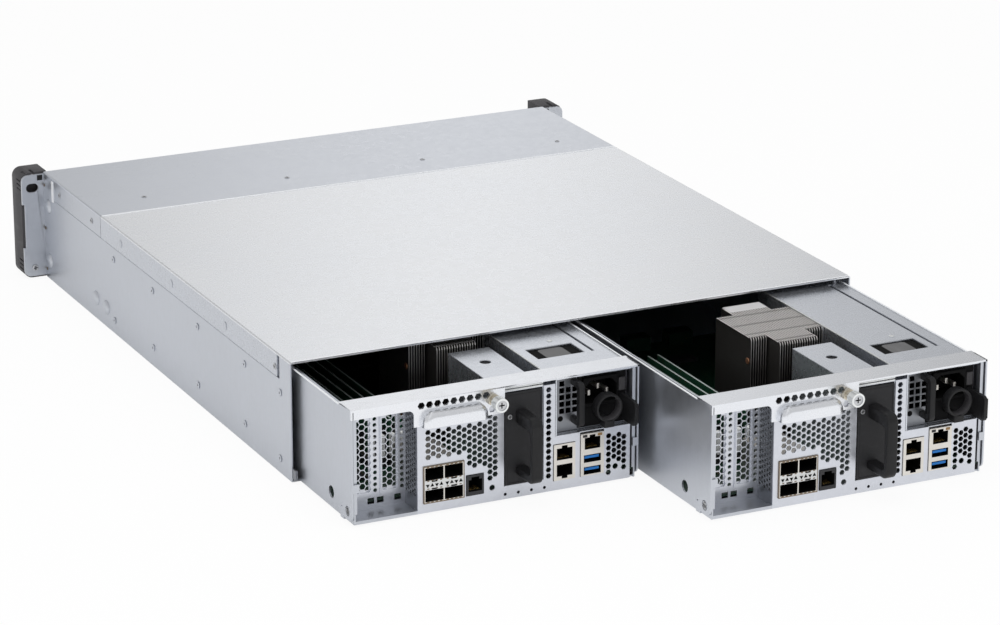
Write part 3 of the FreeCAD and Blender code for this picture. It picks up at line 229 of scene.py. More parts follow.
def modify(piece, kind, **settings):
    """Adds a modifier with these settings and applies it."""
    activate(piece)
    modifier = piece.modifiers.new(kind.title(), kind)
    for key, value in settings.items():
        setattr(modifier, key, value)
    bpy.ops.object.modifier_apply(modifier=modifier.name)
    return piece


def soften(piece, radius, steps=2, angle=40):
    """Rounds all the sharp edges of a piece."""
    return modify(piece, "BEVEL", width=radius * MM, segments=steps, limit_method="ANGLE",
                  angle_limit=math.radians(angle), use_clamp_overlap=True)


def row(piece, count, step):
    """Repeats a piece along a step."""
    if count < 2:
        return piece
    return modify(piece, "ARRAY", count=count, use_relative_offset=False, use_constant_offset=True,
                  constant_offset_displace=[a * MM for a in step])


def joined(name, pieces):
    clear()
    for piece in pieces:
        piece.select_set(True)
    bpy.context.view_layer.objects.active = pieces[0]
    if len(pieces) > 1:
        bpy.ops.object.join()
    whole = bpy.context.active_object
    whole.name = name
    return whole


def carve(piece, *tools):
    """Cuts tools out of a piece. The cut faces take the finish of the tools."""
    tool = joined("tool", list(tools))
    modify(piece, "BOOLEAN", operation="DIFFERENCE", solver="EXACT", object=tool, material_mode="TRANSFER")
    bpy.data.objects.remove(tool)
    return piece


def weld(piece, *others):
    """Unites pieces into one closed form."""
    for other in others:
        modify(piece, "BOOLEAN", operation="UNION", solver="EXACT", object=other, material_mode="TRANSFER")
        bpy.data.objects.remove(other)
    return piece


def smooth(piece, angle=35):
    activate(piece)
    bpy.ops.object.shade_smooth_by_angle(angle=math.radians(angle))
    clear()
    return piece


def coat(piece, finish):
    """Gives a piece one finish, by its name."""
    piece.data.materials.clear()
    piece.data.materials.append(FINISHES[finish])
    return piece


def copied(piece, name, move):
    """A copy with its own mesh, moved."""
    activate(piece)
    bpy.ops.object.duplicate()
    twin = bpy.context.active_object
    twin.name = name
    twin.location = [a * MM for a in move]
    bpy.ops.object.transform_apply(location=True, rotation=False, scale=False)
    return twin


def fit(piece, body="controller", node=None):
    """Puts a copy of a canister's piece in each canister, in place of a node, and takes the pattern away."""
    for side, (x, y) in CANISTERS.items():
        twin = copied(piece, f"{side}_{piece.name}", (x, y, 0))
        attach(twin, f"{side}_{body}")
        if node:
            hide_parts(f"{side}_{node}")
    bpy.data.objects.remove(piece)


def mirrored(piece, name):
    """A copy on the other side of the case."""
    twin = copied(piece, name, (0, 0, 0))
    activate(twin)
    bpy.ops.object.mode_set(mode="EDIT")
    bpy.ops.mesh.select_all(action="SELECT")
    bpy.ops.transform.mirror(constraint_axis=(True, False, False), orient_type="GLOBAL",
                             center_override=(0, 0, 0))
    bpy.ops.mesh.normals_make_consistent(inside=False)
    clear()
    return twin


# Finishes
def maths(operation, swapped=False):
    """An operator of Value that adds a Math node, with its sides swapped for a reflected form."""
    def operator(self, other):
        sides = (other, self) if swapped else (self, other)
        return self.finish.node("Math", {"operation": operation}, dict(enumerate(sides)))
    return operator


class Value:
    """A socket of a finish. Maths on it adds Math nodes."""

    def __init__(self, finish, socket):
        self.finish = finish
        self.socket = socket

    __add__, __radd__ = maths("ADD"), maths("ADD", True)
    __sub__, __rsub__ = maths("SUBTRACT"), maths("SUBTRACT", True)
    __mul__, __rmul__ = maths("MULTIPLY"), maths("MULTIPLY", True)
    __lt__, __gt__ = maths("LESS_THAN"), maths("GREATER_THAN")


class Finish:
    """A material, or the world, made of nodes."""

    def __init__(self, name, kind="materials"):
        self.block = getattr(bpy.data, kind).new(name)
        self.block.use_nodes = True
        self.tree = self.block.node_tree
        self.tree.nodes.clear()

    def node(self, kind, settings=None, inputs=None, out=0):
        """A node with its settings made first, then its inputs. Gives one of its outputs."""
        node = self.tree.nodes.new("ShaderNode" + kind)
        for key, value in (settings or {}).items():
            if key == "stops":
                self._ramp(node.color_ramp, value)
            else:
                setattr(node, key, value)
        for key, value in (inputs or {}).items():
            if isinstance(value, Value):
                self.tree.links.new(value.socket, node.inputs[key])
            else:
                node.inputs[key].default_value = value
        return Value(self, node.outputs[out]) if node.outputs else None

    def _ramp(self, ramp, stops):
        while len(ramp.elements) < len(stops):
            ramp.elements.new(1.0)
        for element, (position, grey) in zip(ramp.elements, stops):
            element.position = position
            element.color = (grey, grey, grey, 1)

    def place(self):
        return self.node("TexCoord", out="Object")

    def stretched(self, scale):
        return self.node("Mapping", None, {"Vector": self.place(), "Scale": scale})

    def noise(self, scale, detail=2.0, vector=None):
        vector = vector or self.place()
        return self.node("TexNoise", None, {"Vector": vector, "Scale": scale, "Detail": detail})

    def ramp(self, value, *stops):
        return self.node("ValToRGB", {"stops": stops}, {"Fac": value})

    def mix(self, factor, first, second):
        def solid(c):
            return c if isinstance(c, Value) else (*c, 1)
        inputs = {0: factor, 6: solid(first), 7: solid(second)}
        return self.node("Mix", {"data_type": "RGBA"}, inputs, out=2)

    def axis(self, letter):
        return self.node("SeparateXYZ", None, {"Vector": self.place()}, out=letter)

    def larger(self, first, second):
        return self.node("Math", {"operation": "MAXIMUM"}, {0: first, 1: second})

    def span(self, value, low, high, start=0.0, end=1.0):
        """A value between low and high, mapped to start and end."""
        limits = {"From Min": low, "From Max": high, "To Min": start, "To Max": end}
        return self.node("MapRange", None, {"Value": value, **limits})

    def bump(self, height, strength, distance):
        return self.node("Bump", None, {"Height": height, "Strength": strength, "Distance": distance},
                         out="Normal")

    def shade(self, **inputs):
        """Ends the finish with a surface. Gives the material."""
        sockets = {key.replace("_", " "): value for key, value in inputs.items()}
        for key in ("Base Color", "Emission Color"):
            if isinstance(sockets.get(key), tuple) and len(sockets[key]) == 3:
                sockets[key] = (*sockets[key], 1)
        surface = self.node("BsdfPrincipled", None, sockets)
        self.node("OutputMaterial", None, {"Surface": surface})
        return self.block


SKIRT_TOP = 0.0868  # below this the covers' sheet is a skirt
FOLD_PITCH, FOLD_WIDTH = 0.0095, 0.0011
# Painted shade: below the first height the fins are painted dark, and by the second they have their own colour.
FIN_SHADE = (0.055, 0.0805)  # heights between which the fins come out of the dark
VIA = (0.20, 0.15, 0.07)


def shift(c, factor):
    """A colour made lighter or darker."""
    return tuple(min(1.0, a * factor) for a in c)


def zinc_sheet(name, tint, spangle, grain, rough, shaded_skirt=None, metal=0.9):
    """Rolled zinc plated sheet: cloudy crystals, rolling streaks and a fine grain. Below SKIRT_TOP a skirt
    colour, if given, takes the place of the tint: painted shade on the covers' sides.
    """
    f = Finish(name)
    crystals = f.node("TexVoronoi", None, {"Vector": f.place(), "Scale": 260.0}, out="Color")
    cell = f.node("SeparateColor", None, {"Color": crystals})
    streaks = f.noise(1.0, 3.0, f.stretched((30.0, 900.0, 60.0)))
    clouds = f.noise(7.0, 3.0)
    speck = f.noise(2600.0, 2.0)
    level = cell * (0.22 * spangle) + streaks * 0.16 + clouds * 0.3 + speck * (0.34 * grain)
    tone = f.ramp(level, (0.12, 0), (0.72, 1))
    base = f.mix(tone, shift(tint, 0.88), shift(tint, 1.10))
    # Painted shade: below SKIRT_TOP the sheet takes the darker skirt colour, so the covers' vertical sides read
    # as shaded.
    if shaded_skirt:
        base = f.mix(f.axis("Z") < SKIRT_TOP, base, f.mix(tone, shift(shaded_skirt, 0.88), shift(shaded_skirt, 1.10)))
    roughness = rough - 0.05 + cell * 0.05 + speck * 0.08 + clouds * 0.04
    return f.shade(Base_Color=base, Metallic=metal, Roughness=roughness,
                   Normal=f.bump(speck * 0.7 + streaks * 0.3, 0.12 * grain, 0.0002))


def moulded(name, tint, rough, gloss=0.3, grain=2200.0, depth=0.16):
    """Moulded plastic with a fine spark-eroded grain and faint handling marks."""
    f = Finish(name)
    pits = f.noise(grain, 3.0)
    clouds = f.noise(28.0, 3.0)
    marks = f.ramp(f.noise(1.0, 4.0, f.stretched((160.0, 60.0, 240.0))), (0.55, 0), (0.78, 1))
    base = f.mix(clouds, shift(tint, 0.85), shift(tint, 1.18))
    base = f.mix(marks * 0.25, base, shift(tint, 1.9))
    return f.shade(Base_Color=base, Roughness=rough - 0.08 + pits * 0.14 - marks * 0.08,
                   Specular_IOR_Level=gloss, Normal=f.bump(pits, depth, 0.0003))


def solder_mask(name, tint):
    """A coated circuit board: tracks under the coat, copper vias and a pale print."""
    f = Finish(name)
    weave = f.node("TexBrick", {"offset": 0.35, "squash": 1.0},
                   {"Vector": f.place(), "Scale": 95.0, "Mortar Size": 0.05, "Brick Width": 1.4,
                    "Row Height": 0.16, "Bias": 0.0}, out="Fac")
    dots = f.node("TexVoronoi", {"feature": "F1"}, {"Vector": f.place(), "Scale": 180.0}, out="Distance")
    via = dots < 0.16
    blotch = f.noise(60.0, 3.0)
    base = f.mix(weave * 0.8, tint, shift(tint, 1.9))
    base = f.mix(blotch * 0.3, base, shift(tint, 0.5))
    base = f.mix(via * 0.4, base, VIA)
    return f.shade(Base_Color=base, Roughness=0.34 + blotch * 0.1, Metallic=via * 0.6, Coat_Weight=0.15,
                   Normal=f.bump(weave * 0.5 + via, 0.15, 0.0002))


def plated(name, tint, rough):
    """Thin plated shell metal with fine drawing lines."""
    f = Finish(name)
    lines = f.noise(1.0, 2.0, f.stretched((2600.0, 120.0, 200.0)))
    tarnish = f.noise(90.0, 3.0)
    base = f.mix(tarnish, shift(tint, 0.85), shift(tint, 1.12))
    return f.shade(Base_Color=base, Metallic=0.9, Roughness=rough - 0.04 + lines * 0.12,
                   Normal=f.bump(lines, 0.08, 0.0002))


def rolled_fin(name, tint):
    """Fin stock, with the fold lines that tie the fins together. Painted shade darkens the fins towards their
    foot and on their broad faces, so the gaps between them read dark.
    """
    f = Finish(name)
    line = f.node("Math", {"operation": "PINGPONG"}, {0: f.axis("Y"), 1: FOLD_PITCH}) < FOLD_WIDTH
    grain = f.noise(1.0, 2.0, f.stretched((400.0, 60.0, 1800.0)))
    base = f.mix(grain, shift(tint, 0.85), shift(tint, 1.15))
    base = f.mix(line * 0.8, base, shift(tint, 0.35))
    # Painted shade at the foot of the fins, fading out between the FIN_SHADE heights.
    base = f.mix(f.span(f.axis("Z"), *FIN_SHADE), shift(tint, 0.2), base)
    # Painted shade on faces that look along X, the broad sides of the fins.
    across = f.node("SeparateXYZ", None, {"Vector": f.node("NewGeometry", out="Normal")}, out="X")
    base = f.mix(across * across, base, shift(tint, 0.1))
    return f.shade(Base_Color=base, Metallic=0.8, Roughness=0.32 + grain * 0.14,
                   Normal=f.bump(grain - line * 0.5, 0.12, 0.0003))


def lamp_glass(name, tint, glow=0.02):
    """A small light window with a faint own light in its middle."""
    f = Finish(name)
    spark = f.noise(900.0, 1.0)
    base = f.mix(spark * 0.4, tint, shift(tint, 1.5))
    return f.shade(Base_Color=base, Roughness=0.2 + spark * 0.1, Emission_Color=base, Emission_Strength=glow)


def blank_paper(name, dark, pale):
    """A bare label, slightly uneven."""
    f = Finish(name)
    fibre = f.noise(1400.0, 3.0)
    return f.shade(Base_Color=f.mix(fibre, dark, pale), Roughness=0.55 + fibre * 0.15,
                   Normal=f.bump(fibre, 0.05, 0.0001))


def make_finishes():
    """Makes every finish, from its name, its maker and the maker's settings."""
    tones = bpy.context.scene.server_colours
    zinc, bright = tuple(tones.zinc), tuple(tones.bright_zinc)
    black, mask = tuple(tones.black), tuple(tones.mask)
    for name, maker, *settings in (
            ("zinc", zinc_sheet, zinc, 0.4, 0.35, 0.32),
            # dark_zinc: zinc at half brightness, as painted shade on the power supplies' recessed faces and on
            # the return wall of the slot recess; the small rear clip takes it too.
            ("dark_zinc", zinc_sheet, shift(zinc, 0.5), 0.3, 0.3, 0.36),
            # cover and front_cover take plain zinc on their skirts: painted shade of their sides.
            ("cover", zinc_sheet, shift(bright, 1.04), 0.5, 0.22, 0.25, zinc),
            ("front_cover", zinc_sheet, shift(zinc, 1.2), 0.15, 0.12, 0.27, zinc),
            # panel: the bright zinc taken down to 0.8, below the lever and cover: painted shade of the rear
            # panels and their slot recess.
            ("panel", zinc_sheet, shift(bright, 0.80), 0.6, 0.6, 0.29),
            ("lever", zinc_sheet, shift(bright, 1.03), 0.2, 0.06, 0.22),
            ("bay", zinc_sheet, shift(zinc, 1.2), 0.4, 0.1, 0.23),
            # bright: the lightest copy of the bright zinc. On the power supply cover's fold strip and the bay
            # lips it is a painted highlight; the thumbscrew knobs and the cover's dimple take it too.
            ("bright", zinc_sheet, shift(bright, 1.1), 0.1, 0.2, 0.3),
            # edge: pale and hardly metal, so it shows near white under any light: a painted highlight along the
            # hems, the tray rims and the bent tab.
            ("edge", zinc_sheet, shift(bright, 1.05), 0.1, 0.2, 0.3, None, 0.15),
            ("nickel", plated, tuple(tones.nickel), 0.28),
            ("brass", plated, (0.66, 0.61, 0.51), 0.3),
            ("tan", plated, (0.24, 0.19, 0.14), 0.34),
            ("gold", plated, (0.75, 0.52, 0.18), 0.22),
            ("copper", plated, (0.62, 0.30, 0.17), 0.3),
            ("screw", plated, (0.60, 0.61, 0.63), 0.3),
            # The dark screw finish walls the cross slots of screw heads: painted shade in the slots.
            ("dark_screw", plated, (0.16, 0.16, 0.17), 0.36),
            ("board", solder_mask, mask),
            ("memory", solder_mask, shift(mask, 2.2)),
            ("fin", rolled_fin, tuple(tones.fin)),
            ("black", moulded, black, 0.45),
            ("deep_black", moulded, shift(black, 0.5), 0.6, 0.12),
            ("battery", moulded, shift(black, 2.1), 0.6),
            ("carrier", moulded, shift(black, 1.3), 0.48),
            ("cap", moulded, tuple(tones.cap), 0.52),
            ("blue", moulded, tuple(tones.blue), 0.42),
            # inside: near black, the walls of holes, ports, sockets and recesses are cut in it; there it is
            # partly the black plastic of inserts, partly painted shade in the holes. Small dark marks take it
            # too.
            ("inside", moulded, (0.004, 0.004, 0.004), 0.7, 0.1),
            ("grey", moulded, (0.035, 0.035, 0.038), 0.5),
            ("mid_grey", moulded, (0.12, 0.12, 0.122), 0.5),
            ("chip", moulded, (0.022, 0.022, 0.024), 0.4, 0.3, 3500.0, 0.08),
            ("pale", moulded, (0.72, 0.73, 0.73), 0.36, 0.3, 1500.0, 0.05),
            ("board_edge", moulded, (0.40, 0.44, 0.43), 0.5, 0.3, 1500.0, 0.05),
            ("green_lamp", lamp_glass, (0.06, 0.22, 0.07)),
            ("amber_lamp", lamp_glass, (0.30, 0.17, 0.06)),
            ("label", blank_paper, (0.52, 0.51, 0.52), (0.60, 0.60, 0.60))):
        FINISHES[name] = maker(name, *settings)


SLOT_FINISH = {
    "galvanised_steel": "zinc", "cover_steel": "cover", "front_cover_steel": "front_cover",
    "panel_steel": "panel", "port_shell": "nickel", "circuit_board": "board", "memory_board": "memory",
    "heatsink_aluminium": "fin", "screw_steel": "screw", "black_plastic": "black",
    "battery_plastic": "battery", "carrier_plastic": "carrier",
}
# The power supply case takes dark_zinc: painted shade, as its face stands back in the bay.
NODE_FINISH = {"psu_case": "dark_zinc", "bay_frame": "bay"}


class SERVER_OT_dress_solids(bpy.types.Operator):
    """Make the finishes, and give every solid the finish of its slot"""

    bl_idname = "server.dress_solids"
    bl_label = "Dress solids"

    def break_edges(self, node):
        """Small rounds along the cut edges of a sheet."""
        node.modifiers.new("Weld", "WELD").merge_threshold = 0.01 * MM
        rounds = node.modifiers.new("Bevel", "BEVEL")
        rounds.width = 0.35 * MM
        rounds.segments = 2
        rounds.limit_method = "ANGLE"
        rounds.angle_limit = math.radians(40)

    def execute(self, context):
        make_finishes()
        for entry in frame["record"]["subparts"]:
            kind = entry["node"].split("_", 1)[1]
            finish = NODE_FINISH.get(kind, SLOT_FINISH[entry["material_slot"]])
            coat(frame["nodes"][entry["node"]], finish)
        folded = [f"{side}_{sheet}" for side in SIDES for sheet in ("tray", "bay_frame")]
        for node in ("chassis_base", "rack_ears", *folded):
            self.break_edges(frame["nodes"][node])
        return {"FINISHED"}


# Case
SIDE_X = 223  # outer face of the left side
COVER_TOP = 88
EAR_X = 241.3  # outer end of the left ear


def dome(name, radius, height, sides=20):
    """A flat-topped rivet head that stands on the plane of X and Y."""
    head = bar(name, "Z", (0, 0, height / 2), radius, height, sides)
    inset(head, "Z", 1, (radius * 0.31, 0))
    return smooth(soften(head, height * 0.45, 3), 50)


def aimed(piece, axis):
    """Turns a piece that stands up, so that it points along an axis."""
    about, angle = {"X": ("Y", -QUARTER), "Y": ("X", QUARTER)}[axis]
    activate(piece)
    bpy.ops.object.mode_set(mode="EDIT")
    bpy.ops.mesh.select_all(action="SELECT")
    bpy.ops.transform.rotate(value=angle, orient_axis=about, center_override=(0, 0, 0))
    clear()
    return piece


def bulge(name, radius, height):
    """A pressed swelling on the plane of X and Y."""
    clear()
    bpy.ops.mesh.primitive_uv_sphere_add(segments=24, ring_count=12, radius=radius * MM,
                                         scale=(1, 1, height / radius))
    swell = named(name)
    pick(swell, "FACE", lambda face: True)
    bpy.ops.mesh.bisect(plane_co=(0, 0, 0), plane_no=(0, 0, 1), use_fill=True, clear_inner=True)
    clear()
    return smooth(swell, 50)


def pan_head(name, radius, height):
    """A screw head with a cross in it, standing on the plane of X and Y."""
    head = dome(name, radius, height)
    coat(head, "screw")
    long, short = radius * 0.62, radius * 0.16
    # The cross slots are cut with the dark screw finish: painted shade in the slots.
    for x, y in ((long, short), (short, long)):
        carve(head, block("slot", (-x, x), (-y, y), (height * 0.55, height * 2), "dark_screw"))
    return head


def scatter(name, pattern, places):
    """Copies of a pattern at places, as one piece. The pattern goes."""
    whole = joined(name, [copied(pattern, "copy", place) for place in places])
    bpy.data.objects.remove(pattern)
    return whole


def on_case(piece, slot):
    """Fixes a piece to the chassis."""
    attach(piece, "chassis")


class SERVER_OT_case_fittings(bpy.types.Operator):
    """Add the rivets, screws, pressed domes and bent tabs of the case"""

    bl_idname = "server.case_fittings"
    bl_label = "Case fittings"

    def rivet(self, radius):
        head = coat(dome("rivet", radius, 0.7), "zinc")
        return carve(head, coat(bar("hole", "Z", (0, 0, 1), radius * 0.3, 1.4, 12), "screw"))

    def side_fittings(self, radius):
        """Gives each group on the left side, with its slot."""
        rows = ((60.5, (-96, -12, 80, 171, 237)), (15, (-13, 79, 170)), (11, (-97, 235)))
        places = [(SIDE_X, y, z) for z, along in rows for y in along]
        yield scatter("case_rivets", aimed(self.rivet(radius), "X"), places), "galvanised_steel"
        screws = aimed(pan_head("screw", 2.4, 0.5), "X")
        places = [(SIDE_X, y, z) for y, z in ((-217, 78.5), (-143, 78.5), (228, 77))]
        yield scatter("skirt_screws", screws, places), "screw_steel"
        spots = aimed(coat(dome("spot", 3.2, 0.3), "front_cover"), "X")
        yield scatter("skirt_spots", spots, [(SIDE_X, y, 78) for y in (-79, 28, 135)]), "cover_steel"
        pressed = aimed(coat(bulge("pressed", 6.0, 2.2), "zinc"), "X")
        domes = [(SIDE_X - 0.1, y, z) for y, z in ((-245, 62), (-246, 16), (-138, 17), (-115, 16))]
        yield scatter("pressed_domes", pressed, domes), "galvanised_steel"
        # The bent tab is real; its pale edge finish is a painted highlight.
        tab = block("bent_tab", (SIDE_X - 0.4, SIDE_X + 0.6), (-235.5, -231.5), (68.5, 85.5), "edge", 0.3)
        yield tab, "cover_steel"
        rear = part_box("chassis_base")[1].y / MM
        clip = block("rear_clip", (220.3, 222.4), (rear - 1, rear + 5), (2.5, 10), "dark_zinc", 0.4)
        yield clip, "galvanised_steel"
        tips = aimed(coat(dome("tip", 1.3, 0.5, 12), "tan"), "X")
        yield scatter("ear_screws", tips, [(SIDE_X, -253.3, z) for z in (77.5, 41.6, 7.3)]), "screw_steel"
        yield block("ear_clip", (223.8, 228.2), (-256.4, -254.9), (81.3, 85.6), "black", 0.3), "black_plastic"
        tips = aimed(pan_head("tip", 2.7, 1.4), "Y")
        yield scatter("ear_screw_tips", tips, [(232.5, -255.5, 8.8)]), "screw_steel"

    def execute(self, context):
        for piece, slot in self.side_fittings(context.scene.server_parts.rivet / MM):
            on_case(mirrored(piece, f"right_{piece.name}"), slot)
            piece.name = f"left_{piece.name}"
            on_case(piece, slot)
        screws = pan_head("screw", 2.0, 0.4)
        places = [(x, -155.6, COVER_TOP) for x in (174.5, 53.4, -65, -186.5)]
        on_case(scatter("cover_screws", screws, places), "screw_steel")
        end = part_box("rear_cover")[1].y / MM
        # The hem beads are real; their pale edge finish is a painted highlight along the seam and the rear edge
        # of the cover.
        hems = [block("hem", (-222, 222), y, (COVER_TOP - 0.6, COVER_TOP + 0.4), "edge", 0.35, 3)
                for y in ((-122.7, -121.2), (end - 1.4, end))]
        on_case(joined("cover_hems", hems), "cover_steel")
        return {"FINISHED"}


class SERVER_OT_ear_caps(bpy.types.Operator):
    """Model the grooved caps of the rack ears"""

    bl_idname = "server.ear_caps"
    bl_label = "Ear caps"

    def execute(self, context):
        cap = block("cap", (219.8, EAR_X), (-279, -257.5), (0, COVER_TOP))
        round_edges(cap, running("Y", ("X", EAR_X)), 7, 8)
        round_edges(cap, running("X", ("Y", -279)), 1.5, 3)
        tools = [block("pocket", (226.05, 239.05), (-263.5, -250), (69, 82))]
        for middle in (7, 81):
            way = 1 if middle < 44 else -1
            groove = block("groove", (240.2, 243), (-268, -250), (middle - 0.6, middle + 0.6))
            tools.append(row(groove, 3, (0, 0, way * 3.6)))
        for x in (230.0, 236.6):
            tools.append(block("notch", (x, x + 2.4), (-266, -250), (86.4, 90)))
        for tool in tools:
            carve(cap, tool)
        coat(smooth(soften(cap, 0.35, 2, 60), 40), "cap")
        twin = mirrored(cap, "right_ear_cap")
        cap.name = "left_ear_cap"
        for piece in (cap, twin):
            on_case(piece, "black_plastic")
        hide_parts("ear_caps")
        return {"FINISHED"}


class SERVER_OT_drive_carriers(bpy.types.Operator):
    """Model a drive carrier with a vented bezel and a release lever, and copy it to every bay"""

    bl_idname = "server.drive_carriers"
    bl_label = "Drive carriers"

    def bezel(self, low, high):
        """The pattern, in the place of the first carrier."""
        x0, x1, z0, z1 = low.x / MM, high.x / MM, low.z / MM, high.z / MM
        face, end = low.y / MM, high.y / MM
        middle = (z0 + z1) / 2
        front = block("bezel", (x0, x1), (face, face + 14), (z0, z1), "carrier")
        round_edges(front, running("X", ("Y", face)), 2.0, 4)
        round_edges(front, running("Z", ("Y", face)), 1.2, 3)
        # The vents and the recess of the bezel are cut with the near black inside finish: painted shade in them.
        vents = []
        for k, count in ((0, 10), (1, 9), (2, 10)):
            place = (x0 + 26 + (k % 2) * 2.6, face, middle - 4.5 + k * 4.5)
            hole = bar("vent", "Y", place, 2.1, 7, 6, math.pi / 6)
            vents.append(coat(row(hole, count, (5.2, 0, 0)), "inside"))
        recess = block("recess", (x0 + 4, x0 + 22), (face - 1, face + 6), (z0 + 4, z1 - 4), "inside")
        for tool in (*vents, recess):
            carve(front, tool)
        catch = block("catch", (x0 + 5, x0 + 20), (face + 0.6, face + 3.4), (z0 + 5.2, z1 - 5.2))
        inset(catch, "Y", -1, (2, -0.8))
        coat(smooth(soften(catch, 0.5)), "cap")
        lamps = [coat(bar("lamp", "Y", (x1 - 6, face + 0.2, middle + dz), 1.2, 1.2, 12), lamp)
                 for dz, lamp in ((3.5, "green_lamp"), (-3.5, "amber_lamp"))]
        floor = block("floor", (x0, x1), (face + 14, end), (z0, z0 + 1.2), "zinc")
        rails = [block("rail", (x, x + 1.2), (face + 14, end), (z0 + 1.2, z0 + 11), "zinc")
                 for x in (x0 + 3, x1 - 4.2)]
        drive = block("drive", (x0 + 4.2, x1 - 4.2), (end - 147, end), (z0 + 1.2, z0 + 23.2), "zinc", 0.8)
        across = (x0 + x1) / 2
        lid = block("lid", (across - 44, across + 44), (end - 127, end - 57), (z0 + 23.0, z0 + 23.3), "screw")
        round_edges(lid, running("Z"), 34.3, 8)
        return joined("carrier", [front, catch, *lamps, floor, *rails, drive, lid])

    def execute(self, context):
        nodes = [f"drive_carrier_{k:02d}" for k in range(1, 13)]
        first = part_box(nodes[0])[0]
        pattern = self.bezel(*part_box(nodes[0]))
        for k, node in enumerate(nodes, 1):
            move = (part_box(node)[0] - first) / MM
            twin = copied(pattern, f"{node}_dressed", move)
            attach(twin, f"drive_{k:02d}")
            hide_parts(node)
        bpy.data.objects.remove(pattern)
        return {"FINISHED"}


# Canister, modelled in its own frame: X across, the lever's outer face at Y zero
SHEET = 1.2
PANEL_Y = (-1.5 - SHEET, -1.5)
RECESS_Y = (-22.5 - SHEET, -22.5)
RECESS_X = 59.4  # where the slot recess begins beside the face
PANEL_TOP = 82.5
SLOT_X = (91.5, 71.2)
JACK_Y = (-16.7, -0.7)  # depth of the jacks, and their front
BOARD_TOP = 8.6
MODULE_X = (59.5, 51.5, 43.5, 35.5)
FIN_X = (-44.7, 13.3)
FIN_TOP = 81.7
LEVER_HALF = 108.5
LEVER_TOP = 84.3
LEVER_FOOT = 65.2
PIVOT_Y, PIVOT_Z = -8, 10
SCREW_X, SCREW_Z = 4.1, 77
INLET_X, INLET_Z = (-94.9, -67.9), (57.5, 78.5)
PUNCH_Y = (-6, 3)  # through the face
RECESS_PUNCH_Y = (-30, -20)


def hexes(x, z, flats, columns, rows, step, y=PUNCH_Y):
    """Hexagon punches in columns and rows, with flats above and below."""
    tool = bar("hexes", "Y", (x, sum(y) / 2, z), flats / math.sqrt(3), y[1] - y[0], 6, math.pi / 6)
    row(tool, rows, (0, 0, step[1]))
    return row(tool, columns, (step[0], 0, 0))


def dots(axis, place, radius, count, step, sides=12):
    """Round punches in a row."""
    return row(bar("dots", axis, place, radius, 8, sides), count, step)


class SERVER_OT_rear_panels(bpy.types.Operator):
    """Model the punched rear panels with the slot recess beside them"""

    bl_idname = "server.rear_panels"
    bl_label = "Rear panels"

    def face_tools(self, vents):
        flats, high, wide = vents.flats / MM, -vents.row_pitch / MM, -vents.column_pitch / MM
        pair = (2 * wide, high)
        first, top = 51.4, 59.4
        yield hexes(first, top, flats, 4, 5, pair)
        yield hexes(first + wide, top + high / 2, flats, 4, 4, pair)
        yield hexes(first + 8 * wide, top, flats, 2, 7, pair)
        yield hexes(first + 9 * wide, top + high / 2, flats, 2, 7, pair)
        yield hexes(first + 12 * wide, top - high, flats, 1, 11, pair)
        yield hexes(first + 13 * wide, top - high / 2, flats, 1, 10, pair)
        yield hexes(-39.6, 76.0, flats, 1, 15, pair)
        for x, z, count in ((-86.0, 35.0, 7), (-90.2, 32.7, 4), (-94.0, 34.8, 5), (-97.9, 32.7, 6)):
            yield hexes(x, z, flats, 1, count, pair)
        yield dots("Y", (3.4, -2, 11.6), 2.1, 1, (0, 0, 0), sides=20)
        yield dots("Y", (-91.3, -2, 11.8), 2.1, 1, (0, 0, 0), sides=20)
        yield dots("Y", (-6.6, -2, 5.0), 1.15, 4, (-10, 0, 0))

    def turn(self, radius):
        """The return between the face and the recess, with fine holes in it. Its dark zinc is painted shade of
        the recess.
        """
        sheet = block("turn", (RECESS_X - SHEET, RECESS_X), (RECESS_Y[0], PANEL_Y[0]), (2.7, PANEL_TOP))
        for k, y in enumerate((-6.0, -9.4, -12.8, -16.2, -19.6)):
            carve(sheet, dots("X", (59, y, 14.0 + (k % 2) * 1.9), radius, 16, (0, 0, 3.8)))
        return coat(sheet, "dark_zinc")

    def execute(self, context):
        vents = context.scene.server_vents
        face = block("rear_panel", (-102.6, RECESS_X), PANEL_Y, (1.5, PANEL_TOP))
        windows = [((-110, -44.6), (41.3, 90)), ((-35.9, -5.6), (11.0, 90)), ((-45, -35.8), (79.7, 90)),
                   ((24.6, 55.2), (8.3, 35.3)), ((9.6, 23.2), (8.3, 23.8)), ((-60.2, -43.1), (8.3, 35.3)),
                   ((-82.4, -63.8), (8.3, 41.4)), ((5.96, 70), (77.4, 90))]
        for x, z in windows:
            carve(face, block("window", x, PUNCH_Y, z))
        for tool in self.face_tools(vents):
            carve(face, tool)
        radius = vents.dot / MM
        back = block("back", (RECESS_X, 105.3), RECESS_Y, (2.7, PANEL_TOP))
        for x in SLOT_X:
            carve(back, block("mouth", (x - 5, x + 5), RECESS_PUNCH_Y, (16.5, 70.0)))
        for x in (81.6, 61.6, 101.8):
            carve(back, dots("Y", (x, -23, 15.5), radius, 14, (0, 0, 4.3)))
        for x in (84.9, 77.9, 64.9):
            carve(back, block("slit", (x - 2.5, x + 2.5), RECESS_PUNCH_Y, (6.0, 10.4)))
        pieces = [coat(face, "panel"), self.turn(radius * 0.8), coat(back, "panel")]
        fit(joined("rear_panel", pieces), node="rear_panel")
        return {"FINISHED"}


